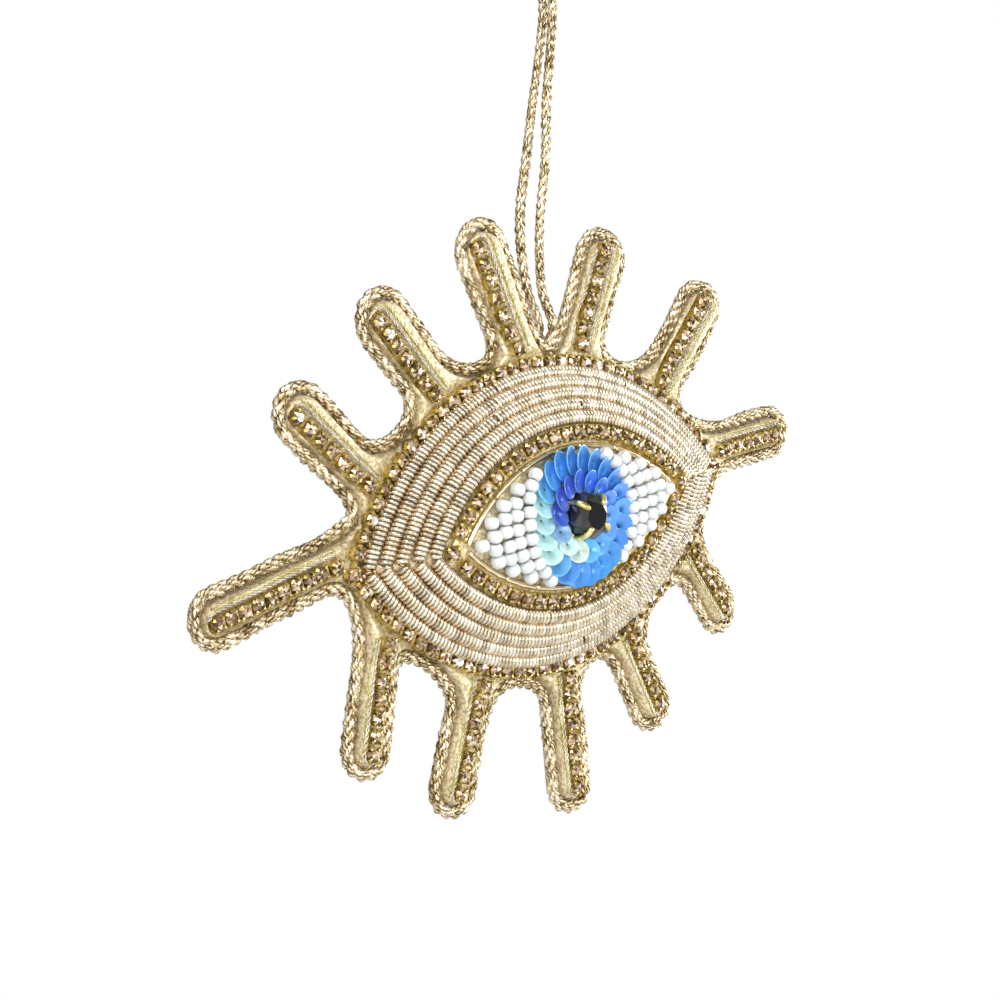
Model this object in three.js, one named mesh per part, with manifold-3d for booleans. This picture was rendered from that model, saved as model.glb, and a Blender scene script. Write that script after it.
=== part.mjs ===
// Beaded eye hanging ornament: a stuffed, hand-embroidered eye with twelve lashes on a looped cord.
// Millimetres, +Z up. The eye looks along -Y, and the origin is the hook point inside the top of the loop.
import * as THREE from "three";
import { mergeVertices } from "three/addons/utils/BufferGeometryUtils.js";
import Module from "manifold-3d";

const wasm = await Module();
wasm.setup();

// Eye almond, measured on the flat of the ornament
const eyeHalfWidth = 34.5; // outer edge of the purl rows
const eyeHalfHeight = 20;
const openHalfWidth = 20.5; // middle of the tube beads round the eye's opening
const openHalfHeight = 9.4;
const rimWidth = 1.8; // flat cloth outside the purl, in the valleys between lashes

// Layers, from the back to the front
const backThickness = 1;
const padThickness = 1.2; // stuffing in a lash
const clothThickness = 1; // front cloth on its felt
const skirtThickness = 0.7; // the same cloth turned down at the edge
const crownDrop = 0.9; // rounded front edge of the cloth: how far it falls
const crownInset = 0.7; // and how far it reaches in
const layerGap = 0.3; // between sewn layers
const domeRise = 6.6; // how far the stuffed eye stands above the lashes
const domePower = 2.5; // roundness of the dome: steep at its foot, flat on top

// Lashes, anticlockwise from the right corner: where each leaves the eye and where it points
// (degrees, seen from the front), its reach as a share of lashReach, the width of its cloth, and how
// far its stones are sewn to the left of its middle, looking out from the eye
const lashReach = 18; // past the rim
const lidLashWidth = 6; // on the upper lid
const outerLidWidth = 5.6; // at the ends of the upper lid
const slimLashWidth = 4.6; // in the corners and on the lower lid
const lastLashWidth = 4.2; // at the right end of the lower lid
const lashes = [
  { name: "right_corner", at: 2.6, toward: -0.4, reach: 1, width: slimLashWidth, aside: -0.4 },
  { name: "upper_right_outer", at: 24, toward: 40.5, reach: 1.06, width: outerLidWidth, aside: 0.9 },
  { name: "upper_right_inner", at: 60, toward: 57, reach: 1.02, width: lidLashWidth, aside: 0.8 },
  { name: "top_middle", at: 86.5, toward: 105, reach: 1.08, width: lidLashWidth, aside: 1.3 },
  { name: "upper_left_inner", at: 127, toward: 123.5, reach: 0.97, width: lidLashWidth, aside: 1.3 },
  { name: "upper_left_outer", at: 160.5, toward: 130.5, reach: 1, width: outerLidWidth, aside: 1.1 },
  { name: "left_corner", at: 176, toward: 187.5, reach: 1.38, width: slimLashWidth, aside: 0.4 },
  { name: "lower_left_outer", at: 194, toward: 249.5, reach: 1.06, width: slimLashWidth, aside: 0.4 },
  { name: "lower_left_inner", at: 229.5, toward: 243, reach: 1.03, width: slimLashWidth, aside: 0.6 },
  { name: "bottom_middle", at: 269.5, toward: 266, reach: 1.09, width: slimLashWidth, aside: 0.4 },
  { name: "lower_right_inner", at: 303, toward: 288.5, reach: 0.86, width: slimLashWidth, aside: 0.8 },
  { name: "lower_right_outer", at: 339, toward: 299, reach: 0.84, width: lastLashWidth, aside: 0.7 },
];
const hangValley = 2; // the loop is sewn in the valley after this lash, counted from 0
const lashRootShare = 0.9; // cloth width at a lash's foot, as a share of its tip
const lashStart = 6; // where a lash's straight sides begin, past the rim

// Edge cord, sewn against the turned-down cloth
const edgeCordDiameter = 1.9;
const edgeCordGap = 0.15;
const edgeCordLevel = 2.3; // middle of the cord, in front of the back face

// Cup chain: crystals in square cups
const stoneWidth = 2.1;
const stonePitch = 2.35;
const lashPitch = 2.2; // least pitch on a lash, where the stones fill the length
const cupHeight = 0.9;
const stoneCrown = 0.6; // stone above its cup
const tableShare = 0.5; // flat top of a stone, as a share of its width
const chainGap = 0.2; // between a chain and the row beside it
const cornerPitch = 3; // from the stone in an eye corner to the next

// Rows on the dome: the purl fills the run between the two chains
const purlRows = 5;
const purlHeight = 1.3;
const tubeBeadDiameter = 0.8;
const tubeBeadLength = 4.5;

// Iris: seed beads, sequins and the pupil stone
const seedDiameter = 2;
const seedPitch = 1.85; // along a row
const seedRowPitch = 2.1; // between rows
const outerSequins = 22;
const innerSequins = 14;
const sequinTilt = 1.1; // rise of each sequin over its neighbour
const sequinThickness = 0.35;
const pupilDiameter = 6.5;
const pupilWall = 1.2; // straight side of the stone
const pupilCrown = 1.1; // stone above its side
const settingHeight = 1.2;
const settingWall = 0.35; // of the claws
const cupWall = 0.3;
const clawWidth = 0.8;

// Hanging cord and how the ornament balances on it
const cordDiameter = 1.5;
const hookToRoot = 70; // hook point to the sewn ends
const loopRadius = 4; // bend over the hook, to the middle of the cord
const strandPitch = 1.9; // between the two strands at the flexing points
const sewnAcross = 1; // between the two sewn ends, along the valley
const sewnDepth = 1.7; // and from front to back
const sewnGap = 1.3; // from a sewn end to the edge cord it tips over
const frontSwingZ = -13; // where the cord flexes to the front and back
const sideSwingZ = -17; // where it flexes to the sides
const spinZ = -21; // below this the cord twists
const flexGap = 0.6; // between cord pieces that flex
const spinGap = 0.4;
// Each strand below the twist: how far below it, then across and away
const strandBowLeft = [
  [2, -0.3, 0.95],
  [13, -2.1, 0.8],
  [21, -3.4, 0.7],
  [29, -4.6, 0.6],
  [35, -4.5, 0.5],
  [41, -3.2, 0.5],
];
const strandBowRight = [
  [2, -0.2, -0.95],
  [13, -0.9, -0.8],
  [21, -0.8, -0.6],
  [29, -1.6, -0.4],
  [35, -1.6, -0.3],
  [41, -1.1, -0.4],
];
const rollDegrees = -18; // right side up, because the loop is sewn right of the middle
const leanDegrees = 5.7; // face a little down, because the weight is in front of the seam

// Levels in front of the back face
const padBase = backThickness + layerGap;
const padTop = padBase + padThickness;
const cavityTop = padTop + layerGap;
const clothTop = cavityTop + clothThickness;
const edgeCordRadius = edgeCordDiameter / 2;
const edgeCordOffset = edgeCordRadius + edgeCordGap;

// Almond rows: run 0 is the outer edge of the purl, and runs below 0 lie further in
const openRun = openHalfHeight - eyeHalfHeight;
const almondSpread = (openHalfWidth - eyeHalfWidth) / openRun;
const arcSteps = 30; // on each lid

const radians = THREE.MathUtils.degToRad;
const { clamp, smoothstep, lerp } = THREE.MathUtils;

// A point of the ornament: across, up, and in front of the back face
function point(x, z, level) {
  return new THREE.Vector3(x, -level, z);
}

// The two lid arcs of the almond at a run
function almond(run) {
  const halfHeight = eyeHalfHeight + run;
  const halfWidth = eyeHalfWidth + run * almondSpread;
  const radius = (halfWidth ** 2 + halfHeight ** 2) / (2 * halfHeight);
  return { radius, sink: radius - halfHeight, sweep: Math.asin(Math.min(1, halfWidth / radius)) };
}

// A point of the almond at a run: turn goes once round, anticlockwise from the right corner, as 0 to 1
function almondPoint(run, turn) {
  const { radius, sink, sweep } = almond(run);
  const upper = turn < 0.5;
  const angle = upper ? lerp(sweep, -sweep, turn * 2) : lerp(-sweep, sweep, turn * 2 - 1);
  const height = radius * Math.cos(angle) - sink;
  return new THREE.Vector2(radius * Math.sin(angle), upper ? height : -height);
}

// Height of the stuffed dome above the flat cloth at a run
function domeAt(run) {
  const share = clamp(-run / eyeHalfHeight, 0, 1);
  return domeRise * (1 - (1 - share) ** domePower);
}

// The run of the almond that passes through a place on the flat
function runAt(x, z) {
  let inner = 0.001 - eyeHalfHeight;
  let outer = 40;
  for (let step = 0; step < 50; step += 1) {
    const middle = (inner + outer) / 2;
    const { radius, sink } = almond(middle);
    if (Math.hypot(x, Math.abs(z) + sink) < radius) outer = middle;
    else inner = middle;
  }
  return outer;
}

// A place on the front of the cloth, raised by lift
function onCloth(x, z, lift) {
  return point(x, z, clothTop + domeAt(runAt(x, z)) + lift);
}

// A place on a row of the dome, raised by lift
function onRow(run, turn, lift) {
  const flat = almondPoint(run, (turn + 1) % 1);
  return point(flat.x, flat.y, clothTop + domeAt(run) + lift);
}

// Closed surfaces from rings of points

class Surface {
  constructor() {
    this.positions = [];
    this.triangles = [];
  }

  ring(points) {
    const first = this.positions.length / 3;
    points.forEach((p) => this.positions.push(p.x, p.y, p.z));
    return points.map((_, i) => first + i);
  }

  triangle(a, b, c) {
    this.triangles.push(a, b, c);
  }

  quad(a, b, c, d) {
    this.triangle(a, b, c);
    this.triangle(a, c, d);
  }

  strip(back, front) {
    back.forEach((_, i) => {
      const next = (i + 1) % back.length;
      this.quad(back[i], back[next], front[next], front[i]);
    });
  }

  // Fills a flat outline, with holes, facing the front or the back
  fill(outline, holes, facing) {
    const spot = (i) => new THREE.Vector2(this.positions[3 * i], this.positions[3 * i + 2]);
    const flat = (ring) => ring.map(spot);
    const all = outline.concat(...holes);
    const points = flat(all);
    THREE.ShapeUtils.triangulateShape(flat(outline), holes.map(flat)).forEach(([a, b, c]) => {
      const ab = points[b].clone().sub(points[a]);
      const ac = points[c].clone().sub(points[a]);
      if (ab.cross(ac) * facing > 0) this.triangle(all[a], all[b], all[c]);
      else this.triangle(all[a], all[c], all[b]);
    });
  }

  // Closes a small convex ring
  cap(ring) {
    for (let i = 1; i + 1 < ring.length; i += 1) this.triangle(ring[0], ring[i], ring[i + 1]);
  }

  volume() {
    const corner = (i) => new THREE.Vector3().fromArray(this.positions, 3 * this.triangles[i]);
    let sum = 0;
    for (let i = 0; i < this.triangles.length; i += 3) {
      sum += corner(i).dot(corner(i + 1).cross(corner(i + 2)));
    }
    return sum / 6;
  }

  geometry() {
    if (this.volume() < 0) this.triangles.reverse();
    const geometry = new THREE.BufferGeometry();
    geometry.setAttribute("position", new THREE.Float32BufferAttribute(this.positions, 3));
    return geometry.setIndex(this.triangles);
  }
}

const front = 1;
const back = -1;

// A row of rings joined into one body, either closed on itself or capped
function loft(rings, closed) {
  const surface = new Surface();
  const placed = rings.map((ring) => surface.ring(ring));
  for (let i = 1; i < placed.length; i += 1) surface.strip(placed[i - 1], placed[i]);
  if (closed) {
    surface.strip(placed[placed.length - 1], placed[0]);
  } else {
    surface.cap(placed[0].slice().reverse());
    surface.cap(placed[placed.length - 1]);
  }
  return surface.geometry();
}

// A round tube along a smooth line through points
function tube(points, radius, sides, steps) {
  const curve = new THREE.CatmullRomCurve3(points);
  const frames = curve.computeFrenetFrames(steps);
  const rings = [];
  for (let i = 0; i <= steps; i += 1) {
    const centre = curve.getPointAt(i / steps);
    const ring = [];
    for (let side = 0; side < sides; side += 1) {
      const angle = (2 * Math.PI * side) / sides;
      const arm = frames.normals[i].clone().multiplyScalar(radius * Math.cos(angle));
      ring.push(centre.clone().add(arm.addScaledVector(frames.binormals[i], radius * Math.sin(angle))));
    }
    rings.push(ring);
  }
  return loft(rings, false);
}

function solidOf(geometry) {
  const plain = new THREE.BufferGeometry();
  plain.setAttribute("position", geometry.getAttribute("position"));
  plain.setIndex(geometry.index);
  const merged = mergeVertices(plain);
  const mesh = new wasm.Mesh({
    numProp: 3,
    vertProperties: new Float32Array(merged.getAttribute("position").array),
    triVerts: new Uint32Array(merged.index.array),
  });
  return new wasm.Manifold(mesh);
}

function geometryOf(solid) {
  const mesh = solid.getMesh();
  const geometry = new THREE.BufferGeometry();
  geometry.setAttribute("position", new THREE.Float32BufferAttribute(mesh.vertProperties, 3));
  return geometry.setIndex(Array.from(mesh.triVerts));
}

// Outline of the cloth: lash sides and round tips, with smooth valleys that touch the rim

const tipSteps = 5;
const valleySteps = 6;

function rimPlace(degrees) {
  const direction = new THREE.Vector2(Math.cos(radians(degrees)), Math.sin(radians(degrees)));
  let near = 0;
  let far = eyeHalfWidth + eyeHalfHeight + rimWidth * almondSpread;
  for (let step = 0; step < 50; step += 1) {
    const middle = (near + far) / 2;
    if (runAt(direction.x * middle, direction.y * middle) < rimWidth) near = middle;
    else far = middle;
  }
  return direction.multiplyScalar(near);
}

const lashFrames = lashes.map((lash) => {
  const along = new THREE.Vector2(Math.cos(radians(lash.toward)), Math.sin(radians(lash.toward)));
  const left = new THREE.Vector2(-along.y, along.x);
  const reach = lash.reach * lashReach;
  return { ...lash, reach, foot: rimPlace(lash.at), along, left, tipRadius: lash.width / 2 };
});

function lashPlace(lash, distance, aside) {
  return lash.foot.clone().addScaledVector(lash.along, distance).addScaledVector(lash.left, aside);
}

function lashSide(lash, side) {
  return lashPlace(lash, lashStart, side * lash.tipRadius * lashRootShare);
}

// The valley from the left side of one lash to the right side of the next
function valley(index) {
  const before = lashFrames[index];
  const after = lashFrames[(index + 1) % lashFrames.length];
  const start = lashSide(before, 1);
  const end = lashSide(after, -1);
  const middle = start.clone().add(end).multiplyScalar(0.5);
  const inward = before.along.clone().add(after.along).multiplyScalar(-0.5);
  let near = 0;
  let far = 4 * lashStart;
  for (let step = 0; step < 50; step += 1) {
    const tried = (near + far) / 2;
    const place = middle.clone().addScaledVector(inward, tried);
    if (runAt(place.x, place.y) > rimWidth) near = tried;
    else far = tried;
  }
  const pull = near / 0.75;
  return new THREE.CubicBezierCurve(
    start,
    start.clone().addScaledVector(before.along, -pull),
    end.clone().addScaledVector(after.along, -pull),
    end,
  );
}

function lashTip(lash) {
  const centre = lashPlace(lash, lash.reach - lash.tipRadius, 0);
  const points = [];
  for (let i = 0; i <= tipSteps; i += 1) {
    const angle = lerp(-Math.PI / 2, Math.PI / 2, i / tipSteps);
    const arm = lash.along.clone().multiplyScalar(lash.tipRadius * Math.cos(angle));
    points.push(centre.clone().add(arm.addScaledVector(lash.left, lash.tipRadius * Math.sin(angle))));
  }
  return points;
}

// The outline starts in the middle of the hanging valley and goes anticlockwise
function clothOutline() {
  const points = [];
  for (let i = 0; i < lashFrames.length; i += 1) {
    const index = (hangValley + i) % lashFrames.length;
    const next = (index + 1) % lashFrames.length;
    const curve = valley(index).getPoints(valleySteps);
    const half = valleySteps / 2;
    if (i === 0) points.push(...curve.slice(half));
    else points.push(...curve);
    points.push(...lashTip(lashFrames[next]));
  }
  return points.concat(valley(hangValley).getPoints(valleySteps).slice(0, valleySteps / 2));
}

const outline = clothOutline();

// The outline moved out (or in, below 0) by a distance
function offsetOutline(distance) {
  return outline.map((here, i) => {
    const before = outline[(i + outline.length - 1) % outline.length];
    const after = outline[(i + 1) % outline.length];
    const into = here.clone().sub(before).normalize();
    const out = after.clone().sub(here).normalize();
    const normal = new THREE.Vector2(into.y + out.y, -into.x - out.x).normalize();
    const mitre = Math.max(0.5, normal.dot(new THREE.Vector2(out.y, -out.x)));
    return here.clone().addScaledVector(normal, distance / mitre);
  });
}

function outlineRing(surface, distance, level) {
  return surface.ring(offsetOutline(distance).map((p) => point(p.x, p.y, level)));
}

const domeShares = [0, 0.1, 0.24, 0.42, 0.64, 0.93]; // rings of the dome, from its foot to its top

// Fills a flat level out to a ring, and raises the dome from it
function domedFill(surface, ring, level, facing) {
  const rings = domeShares.map((share) => {
    const run = -share * eyeHalfHeight;
    const points = [];
    for (let i = 0; i < 2 * arcSteps; i += 1) {
      const flat = almondPoint(run, i / (2 * arcSteps));
      points.push(point(flat.x, flat.y, level + domeAt(run)));
    }
    return surface.ring(points);
  });
  surface.fill(ring, [rings[0]], facing);
  for (let i = 1; i < rings.length; i += 1) {
    if (facing === front) surface.strip(rings[i - 1], rings[i]);
    else surface.strip(rings[i], rings[i - 1]);
  }
  surface.fill(rings[rings.length - 1], [], facing);
}

// Panels and padding

function backPanel() {
  const surface = new Surface();
  const behind = outlineRing(surface, 0, 0);
  const ahead = outlineRing(surface, 0, backThickness);
  surface.fill(behind, [], back);
  surface.strip(behind, ahead);
  surface.fill(ahead, [], front);
  return surface.geometry();
}

function padding() {
  const surface = new Surface();
  const inset = -skirtThickness - layerGap;
  const base = outlineRing(surface, inset, padBase);
  const top = outlineRing(surface, inset, padTop);
  surface.fill(base, [], back);
  surface.strip(base, top);
  domedFill(surface, top, padTop, front);
  return surface.geometry();
}

function frontPanel() {
  const surface = new Surface();
  const hem = outlineRing(surface, 0, padBase);
  const shoulder = outlineRing(surface, 0, clothTop - crownDrop);
  const crown = outlineRing(surface, -crownInset, clothTop);
  const cavityHem = outlineRing(surface, -skirtThickness, padBase);
  const cavityRoof = outlineRing(surface, -skirtThickness, cavityTop);
  surface.strip(hem, shoulder);
  surface.strip(shoulder, crown);
  domedFill(surface, crown, clothTop, front);
  surface.strip(cavityHem, hem);
  surface.strip(cavityRoof, cavityHem);
  domedFill(surface, cavityRoof, cavityTop, back);
  return surface.geometry();
}

function edgeCord() {
  const path = offsetOutline(edgeCordOffset);
  const sides = 5;
  const rings = path.map((here, i) => {
    const before = path[Math.max(0, i - 1)];
    const after = path[Math.min(path.length - 1, i + 1)];
    const along = after.clone().sub(before).normalize();
    const ring = [];
    for (let side = 0; side < sides; side += 1) {
      const angle = (2 * Math.PI * side) / sides;
      const out = edgeCordRadius * Math.cos(angle);
      const level = edgeCordLevel + edgeCordRadius * Math.sin(angle);
      ring.push(point(here.x + along.y * out, here.y - along.x * out, level));
    }
    return ring;
  });
  return loft(rings, false);
}

// Cup chains: each frame is a stone's place with its along, across and upward directions

function chain(frames, closed) {
  const surface = new Surface();
  const half = stoneWidth / 2;
  const corner = (frame, a, b, up) =>
    frame.place
      .clone()
      .addScaledVector(frame.along, a)
      .addScaledVector(frame.across, b)
      .addScaledVector(frame.up, up);
  const square = (frame, size, up) =>
    surface.ring([
      corner(frame, -size, -size, up),
      corner(frame, size, -size, up),
      corner(frame, size, size, up),
      corner(frame, -size, size, up),
    ]);
  const stones = frames.map((frame) => {
    const foot = square(frame, half, 0);
    const rim = square(frame, half, cupHeight);
    const table = square(frame, half * tableShare, cupHeight + stoneCrown);
    surface.cap(foot.slice().reverse());
    surface.strip(rim, table);
    surface.cap(table);
    surface.quad(foot[0], foot[1], rim[1], rim[0]);
    surface.quad(foot[2], foot[3], rim[3], rim[2]);
    return { foot, rim };
  });
  const link = (from, to) => {
    surface.quad(from.foot[1], from.foot[2], to.foot[3], to.foot[0]);
    surface.quad(from.foot[1], to.foot[0], to.rim[0], from.rim[1]);
    surface.quad(to.foot[3], from.foot[2], from.rim[2], to.rim[3]);
    surface.quad(from.rim[1], to.rim[0], to.rim[3], from.rim[2]);
  };
  stones.slice(1).forEach((stone, i) => link(stones[i], stone));
  const last = stones[stones.length - 1];
  if (closed) {
    link(last, stones[0]);
  } else {
    surface.quad(stones[0].foot[3], stones[0].foot[0], stones[0].rim[0], stones[0].rim[3]);
    surface.quad(last.foot[1], last.foot[2], last.rim[2], last.rim[1]);
  }
  return surface.geometry();
}

// Stations round an almond row: one in each corner, and the rest evenly along each lid
function lidTurns(run, pitch, margin) {
  const samples = 400;
  const lengths = [0];
  for (let i = 1; i <= samples; i += 1) {
    const from = onRow(run, (i - 1) / (2 * samples), 0);
    lengths.push(lengths[i - 1] + from.distanceTo(onRow(run, i / (2 * samples), 0)));
  }
  const room = lengths[samples] - 2 * margin;
  const count = Math.floor(room / pitch) + 1;
  const turns = [0];
  let index = 0;
  for (let i = 0; i < count; i += 1) {
    const wanted = margin + (room * i) / (count - 1);
    while (lengths[index + 1] < wanted) index += 1;
    turns.push((index + (wanted - lengths[index]) / (lengths[index + 1] - lengths[index])) / (2 * samples));
  }
  return turns.concat(turns.map((turn) => turn + 0.5));
}

// A chain along an almond row, tilted with the slope
function rowChain(run) {
  const frames = lidTurns(run, stonePitch, cornerPitch).map((turn) => {
    const along = onRow(run, turn + 0.003, 0).sub(onRow(run, turn - 0.003, 0)).normalize();
    const outward = onRow(run + 0.1, turn, 0).sub(onRow(run - 0.1, turn, 0));
    const up = outward.cross(along).normalize();
    const across = up.clone().cross(along);
    return { place: onRow(run, turn, 0).addScaledVector(up, layerGap), along, across, up };
  });
  return chain(frames, true);
}

const outerChainRun = chainGap + stoneWidth / 2;
const innerChainRun = openRun + tubeBeadDiameter / 2 + chainGap + stoneWidth / 2;
const purlRun = -(innerChainRun + stoneWidth / 2 + 2 * chainGap) / purlRows;
const irisRadius = openHalfHeight - tubeBeadDiameter / 2 - chainGap;

function lashChain(lash) {
  const first = clearOfChain(lash) + stoneWidth / 2;
  const last = lash.reach - crownInset - stoneWidth / 2;
  const count = Math.floor((last - first) / lashPitch) + 1;
  const pitch = (last - first) / (count - 1);
  const up = new THREE.Vector3(0, -1, 0);
  const along = new THREE.Vector3(lash.along.x, 0, lash.along.y);
  const across = up.clone().cross(along);
  const frames = [];
  for (let i = 0; i < count; i += 1) {
    const flat = lashPlace(lash, first + i * pitch, lash.aside);
    frames.push({ place: point(flat.x, flat.y, clothTop + layerGap), along, across, up });
  }
  return chain(frames, false);
}

// Where a lash's stones come clear of the outer chain
function clearOfChain(lash) {
  let distance = 0;
  const clear = outerChainRun + stoneWidth / 2 + chainGap;
  const corners = [-stoneWidth / 2, 0, stoneWidth / 2].map((across) => lash.aside + across);
  const blocked = () =>
    corners.some((aside) => {
      const flat = lashPlace(lash, distance, aside);
      return runAt(flat.x, flat.y) < clear;
    });
  while (blocked()) distance += 0.1;
  return distance;
}

// Purl rows and tube beads: half-round and round rows that follow the almond

function purlRow(index) {
  const outer = -index * purlRun - layerGap / 2;
  const inner = outer - purlRun + layerGap;
  const section = [
    [outer, 0],
    [lerp(outer, inner, 0.22), purlHeight],
    [lerp(outer, inner, 0.78), purlHeight],
    [inner, 0],
  ];
  const rings = [];
  for (let i = 0; i < 2 * arcSteps; i += 1) {
    rings.push(section.map(([run, lift]) => onRow(run, i / (2 * arcSteps), layerGap + lift)));
  }
  return loft(rings, true);
}

function tubeBeadLine() {
  const third = tubeBeadLength / 3;
  const radius = tubeBeadDiameter / 2;
  const rings = lidTurns(openRun, third, third).map((turn, i) => {
    const size = i % 3 === 0 ? radius * 0.6 : radius;
    const lift = layerGap + radius;
    return [
      onRow(openRun - size, turn, lift),
      onRow(openRun, turn, lift + size),
      onRow(openRun + size, turn, lift),
      onRow(openRun, turn, lift - size),
    ];
  });
  return loft(rings, true);
}

// Seed beads in curved rows round the iris, strung to and fro on one thread

function seedRows(side) {
  const radius = seedDiameter / 2;
  const keepIn = openRun - tubeBeadDiameter / 2 - layerGap - radius;
  const rows = [];
  for (let ring = irisRadius + layerGap + radius; ring < openHalfWidth; ring += seedRowPitch) {
    let reach = 0;
    const at = (angle) => [side * ring * Math.cos(angle), ring * Math.sin(angle)];
    while (reach < 1.5 && runAt(...at(reach)) < keepIn) reach += 0.002;
    const count = Math.floor((2 * reach * ring) / seedPitch) + 1;
    const step = seedPitch / ring;
    const row = [];
    for (let i = 0; i < count && reach > 0; i += 1) row.push(at((i - (count - 1) / 2) * step));
    if (row.length) rows.push(rows.length % 2 ? row.reverse() : row);
  }
  return rows.flat();
}

function seedBeads(side) {
  const radius = seedDiameter / 2;
  const sides = 6;
  const waist = 0.4;
  const centres = seedRows(side).map(([x, z]) => onCloth(x, z, layerGap + radius));
  const stations = [];
  centres.forEach((centre, i) => {
    const next = centres[i + 1];
    if (i === 0) stations.push({ centre: centre.clone(), size: waist * radius, shift: -0.48 });
    stations.push({ centre, size: radius, shift: 0 });
    if (next) stations.push({ centre: centre.clone().lerp(next, 0.5), size: waist * radius, shift: 0 });
    else stations.push({ centre: centre.clone(), size: waist * radius, shift: 0.48 });
  });
  const up = new THREE.Vector3(0, -1, 0);
  const rings = stations.map((station, i) => {
    const from = stations[Math.max(0, i - 1)].centre;
    const to = stations[Math.min(stations.length - 1, i + 1)].centre;
    const along = to.clone().sub(from).setY(0).normalize();
    const centre = station.centre.clone().addScaledVector(along, station.shift * seedPitch);
    const aside = up.clone().cross(along);
    const ring = [];
    for (let k = 0; k < sides; k += 1) {
      const angle = (2 * Math.PI * (k + 0.5)) / sides;
      const arm = aside.clone().multiplyScalar(station.size * Math.cos(angle));
      ring.push(centre.clone().add(arm.addScaledVector(up, station.size * Math.sin(angle))));
    }
    return ring;
  });
  return loft(rings, false);
}

// Sequins overlapped in a ring: each rises towards the next, then drops to the cloth

const pupilRadius = pupilDiameter / 2;
const clawOutside = pupilRadius + layerGap + settingWall;
const sequinBand = (irisRadius - clawOutside - 2 * layerGap) / 2;
const outerSequinRadius = irisRadius - sequinBand / 2;
const innerSequinRadius = outerSequinRadius - sequinBand - layerGap;

function sequinRing(middle, count) {
  const half = sequinBand / 2;
  const shares = [0, 0.33, 0.67, 0.97];
  const rings = [];
  for (let i = 0; i < count; i += 1) {
    shares.forEach((share) => {
      const angle = (2 * Math.PI * (i + share)) / count;
      const bow = half * (1 - 0.25 * (2 * share - 1) ** 2);
      const lift = layerGap + sequinThickness + sequinTilt * share;
      const at = (radius, rise) => onCloth(radius * Math.cos(angle), radius * Math.sin(angle), rise);
      rings.push([
        at(middle + bow, layerGap),
        at(middle + bow, lift),
        at(middle - bow, lift),
        at(middle - bow, layerGap),
      ]);
    });
  }
  return loft(rings, true);
}

// Pupil: a faceted stone held by a cup with four claws, on top of the dome

const pupilBase = clothTop + domeRise + layerGap;
const girdleFoot = settingHeight + layerGap;
const girdleTop = girdleFoot + pupilWall;
const pupilTable = 0.62; // flat top, as a share of the stone's radius

function turned(profile, sides) {
  const rings = profile.map(([radius, height]) => {
    const ring = [];
    for (let side = 0; side < sides; side += 1) {
      const angle = (2 * Math.PI * side) / sides;
      ring.push(point(radius * Math.cos(angle), radius * Math.sin(angle), pupilBase + height));
    }
    return ring;
  });
  return loft(rings, false);
}

function pupilStone() {
  const profile = [
    [pupilRadius * 0.45, settingWall + layerGap],
    [pupilRadius - settingWall, girdleFoot - layerGap],
    [pupilRadius, girdleFoot],
    [pupilRadius, girdleTop],
    [pupilRadius * pupilTable, girdleTop + pupilCrown],
  ];
  return turned(profile, 8);
}

function pupilSetting() {
  const inside = pupilRadius - settingWall + layerGap;
  const outside = inside + cupWall;
  const cup = turned(
    [
      [outside, 0],
      [outside, settingHeight - layerGap],
      [inside, settingHeight - layerGap],
      [inside, settingWall],
    ],
    16,
  );
  const stand = pupilRadius + layerGap;
  const hold = 0.88; // how far in the claws reach, as a share of the stone's radius
  const crownThere = girdleTop + (pupilCrown * (1 - hold)) / (1 - pupilTable);
  const clawLine = [
    [inside + cupWall / 2, settingHeight * 0.45],
    [clawOutside, settingHeight * 0.45],
    [clawOutside, girdleTop + layerGap],
    [pupilRadius * hold, crownThere + layerGap + settingWall],
    [pupilRadius * hold, crownThere + layerGap],
    [stand, girdleTop],
    [stand, settingHeight * 0.65],
    [inside + cupWall / 2, settingHeight * 0.65],
  ];
  const shape = new THREE.Shape(clawLine.map(([radius, height]) => new THREE.Vector2(radius, height)));
  let solid = solidOf(cup);
  for (let i = 0; i < 4; i += 1) {
    const claw = new THREE.ExtrudeGeometry(shape, { depth: clawWidth, bevelEnabled: false });
    claw.translate(0, 0, -clawWidth / 2);
    claw.rotateY(Math.PI / 4 + (i * Math.PI) / 2);
    claw.rotateX(Math.PI);
    claw.translate(0, -pupilBase, 0);
    solid = solid.add(solidOf(claw));
  }
  return geometryOf(solid);
}

// How the ornament hangs: the sewn valley is straight below the hook, turned to its balance

const valleyFloor = offsetOutline(edgeCordOffset)[0];
const valleyAlong = outline[1].clone().sub(outline[outline.length - 1]).normalize();
const sewnRoot = new THREE.Vector3(0, 0, -hookToRoot);
const balance = new THREE.Matrix4().makeRotationFromEuler(
  new THREE.Euler(radians(leanDegrees), radians(rollDegrees), 0, "XYZ"),
);
const hung = new THREE.Matrix4()
  .makeTranslation(sewnRoot)
  .multiply(balance)
  .multiply(new THREE.Matrix4().makeTranslation(point(valleyFloor.x, valleyFloor.y, edgeCordLevel).negate()));

// Hanging cord, from the loop over the hook down to the two sewn ends; side is -1 left, 1 right

const cordRadius = cordDiameter / 2;
const cordSides = 8;

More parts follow.
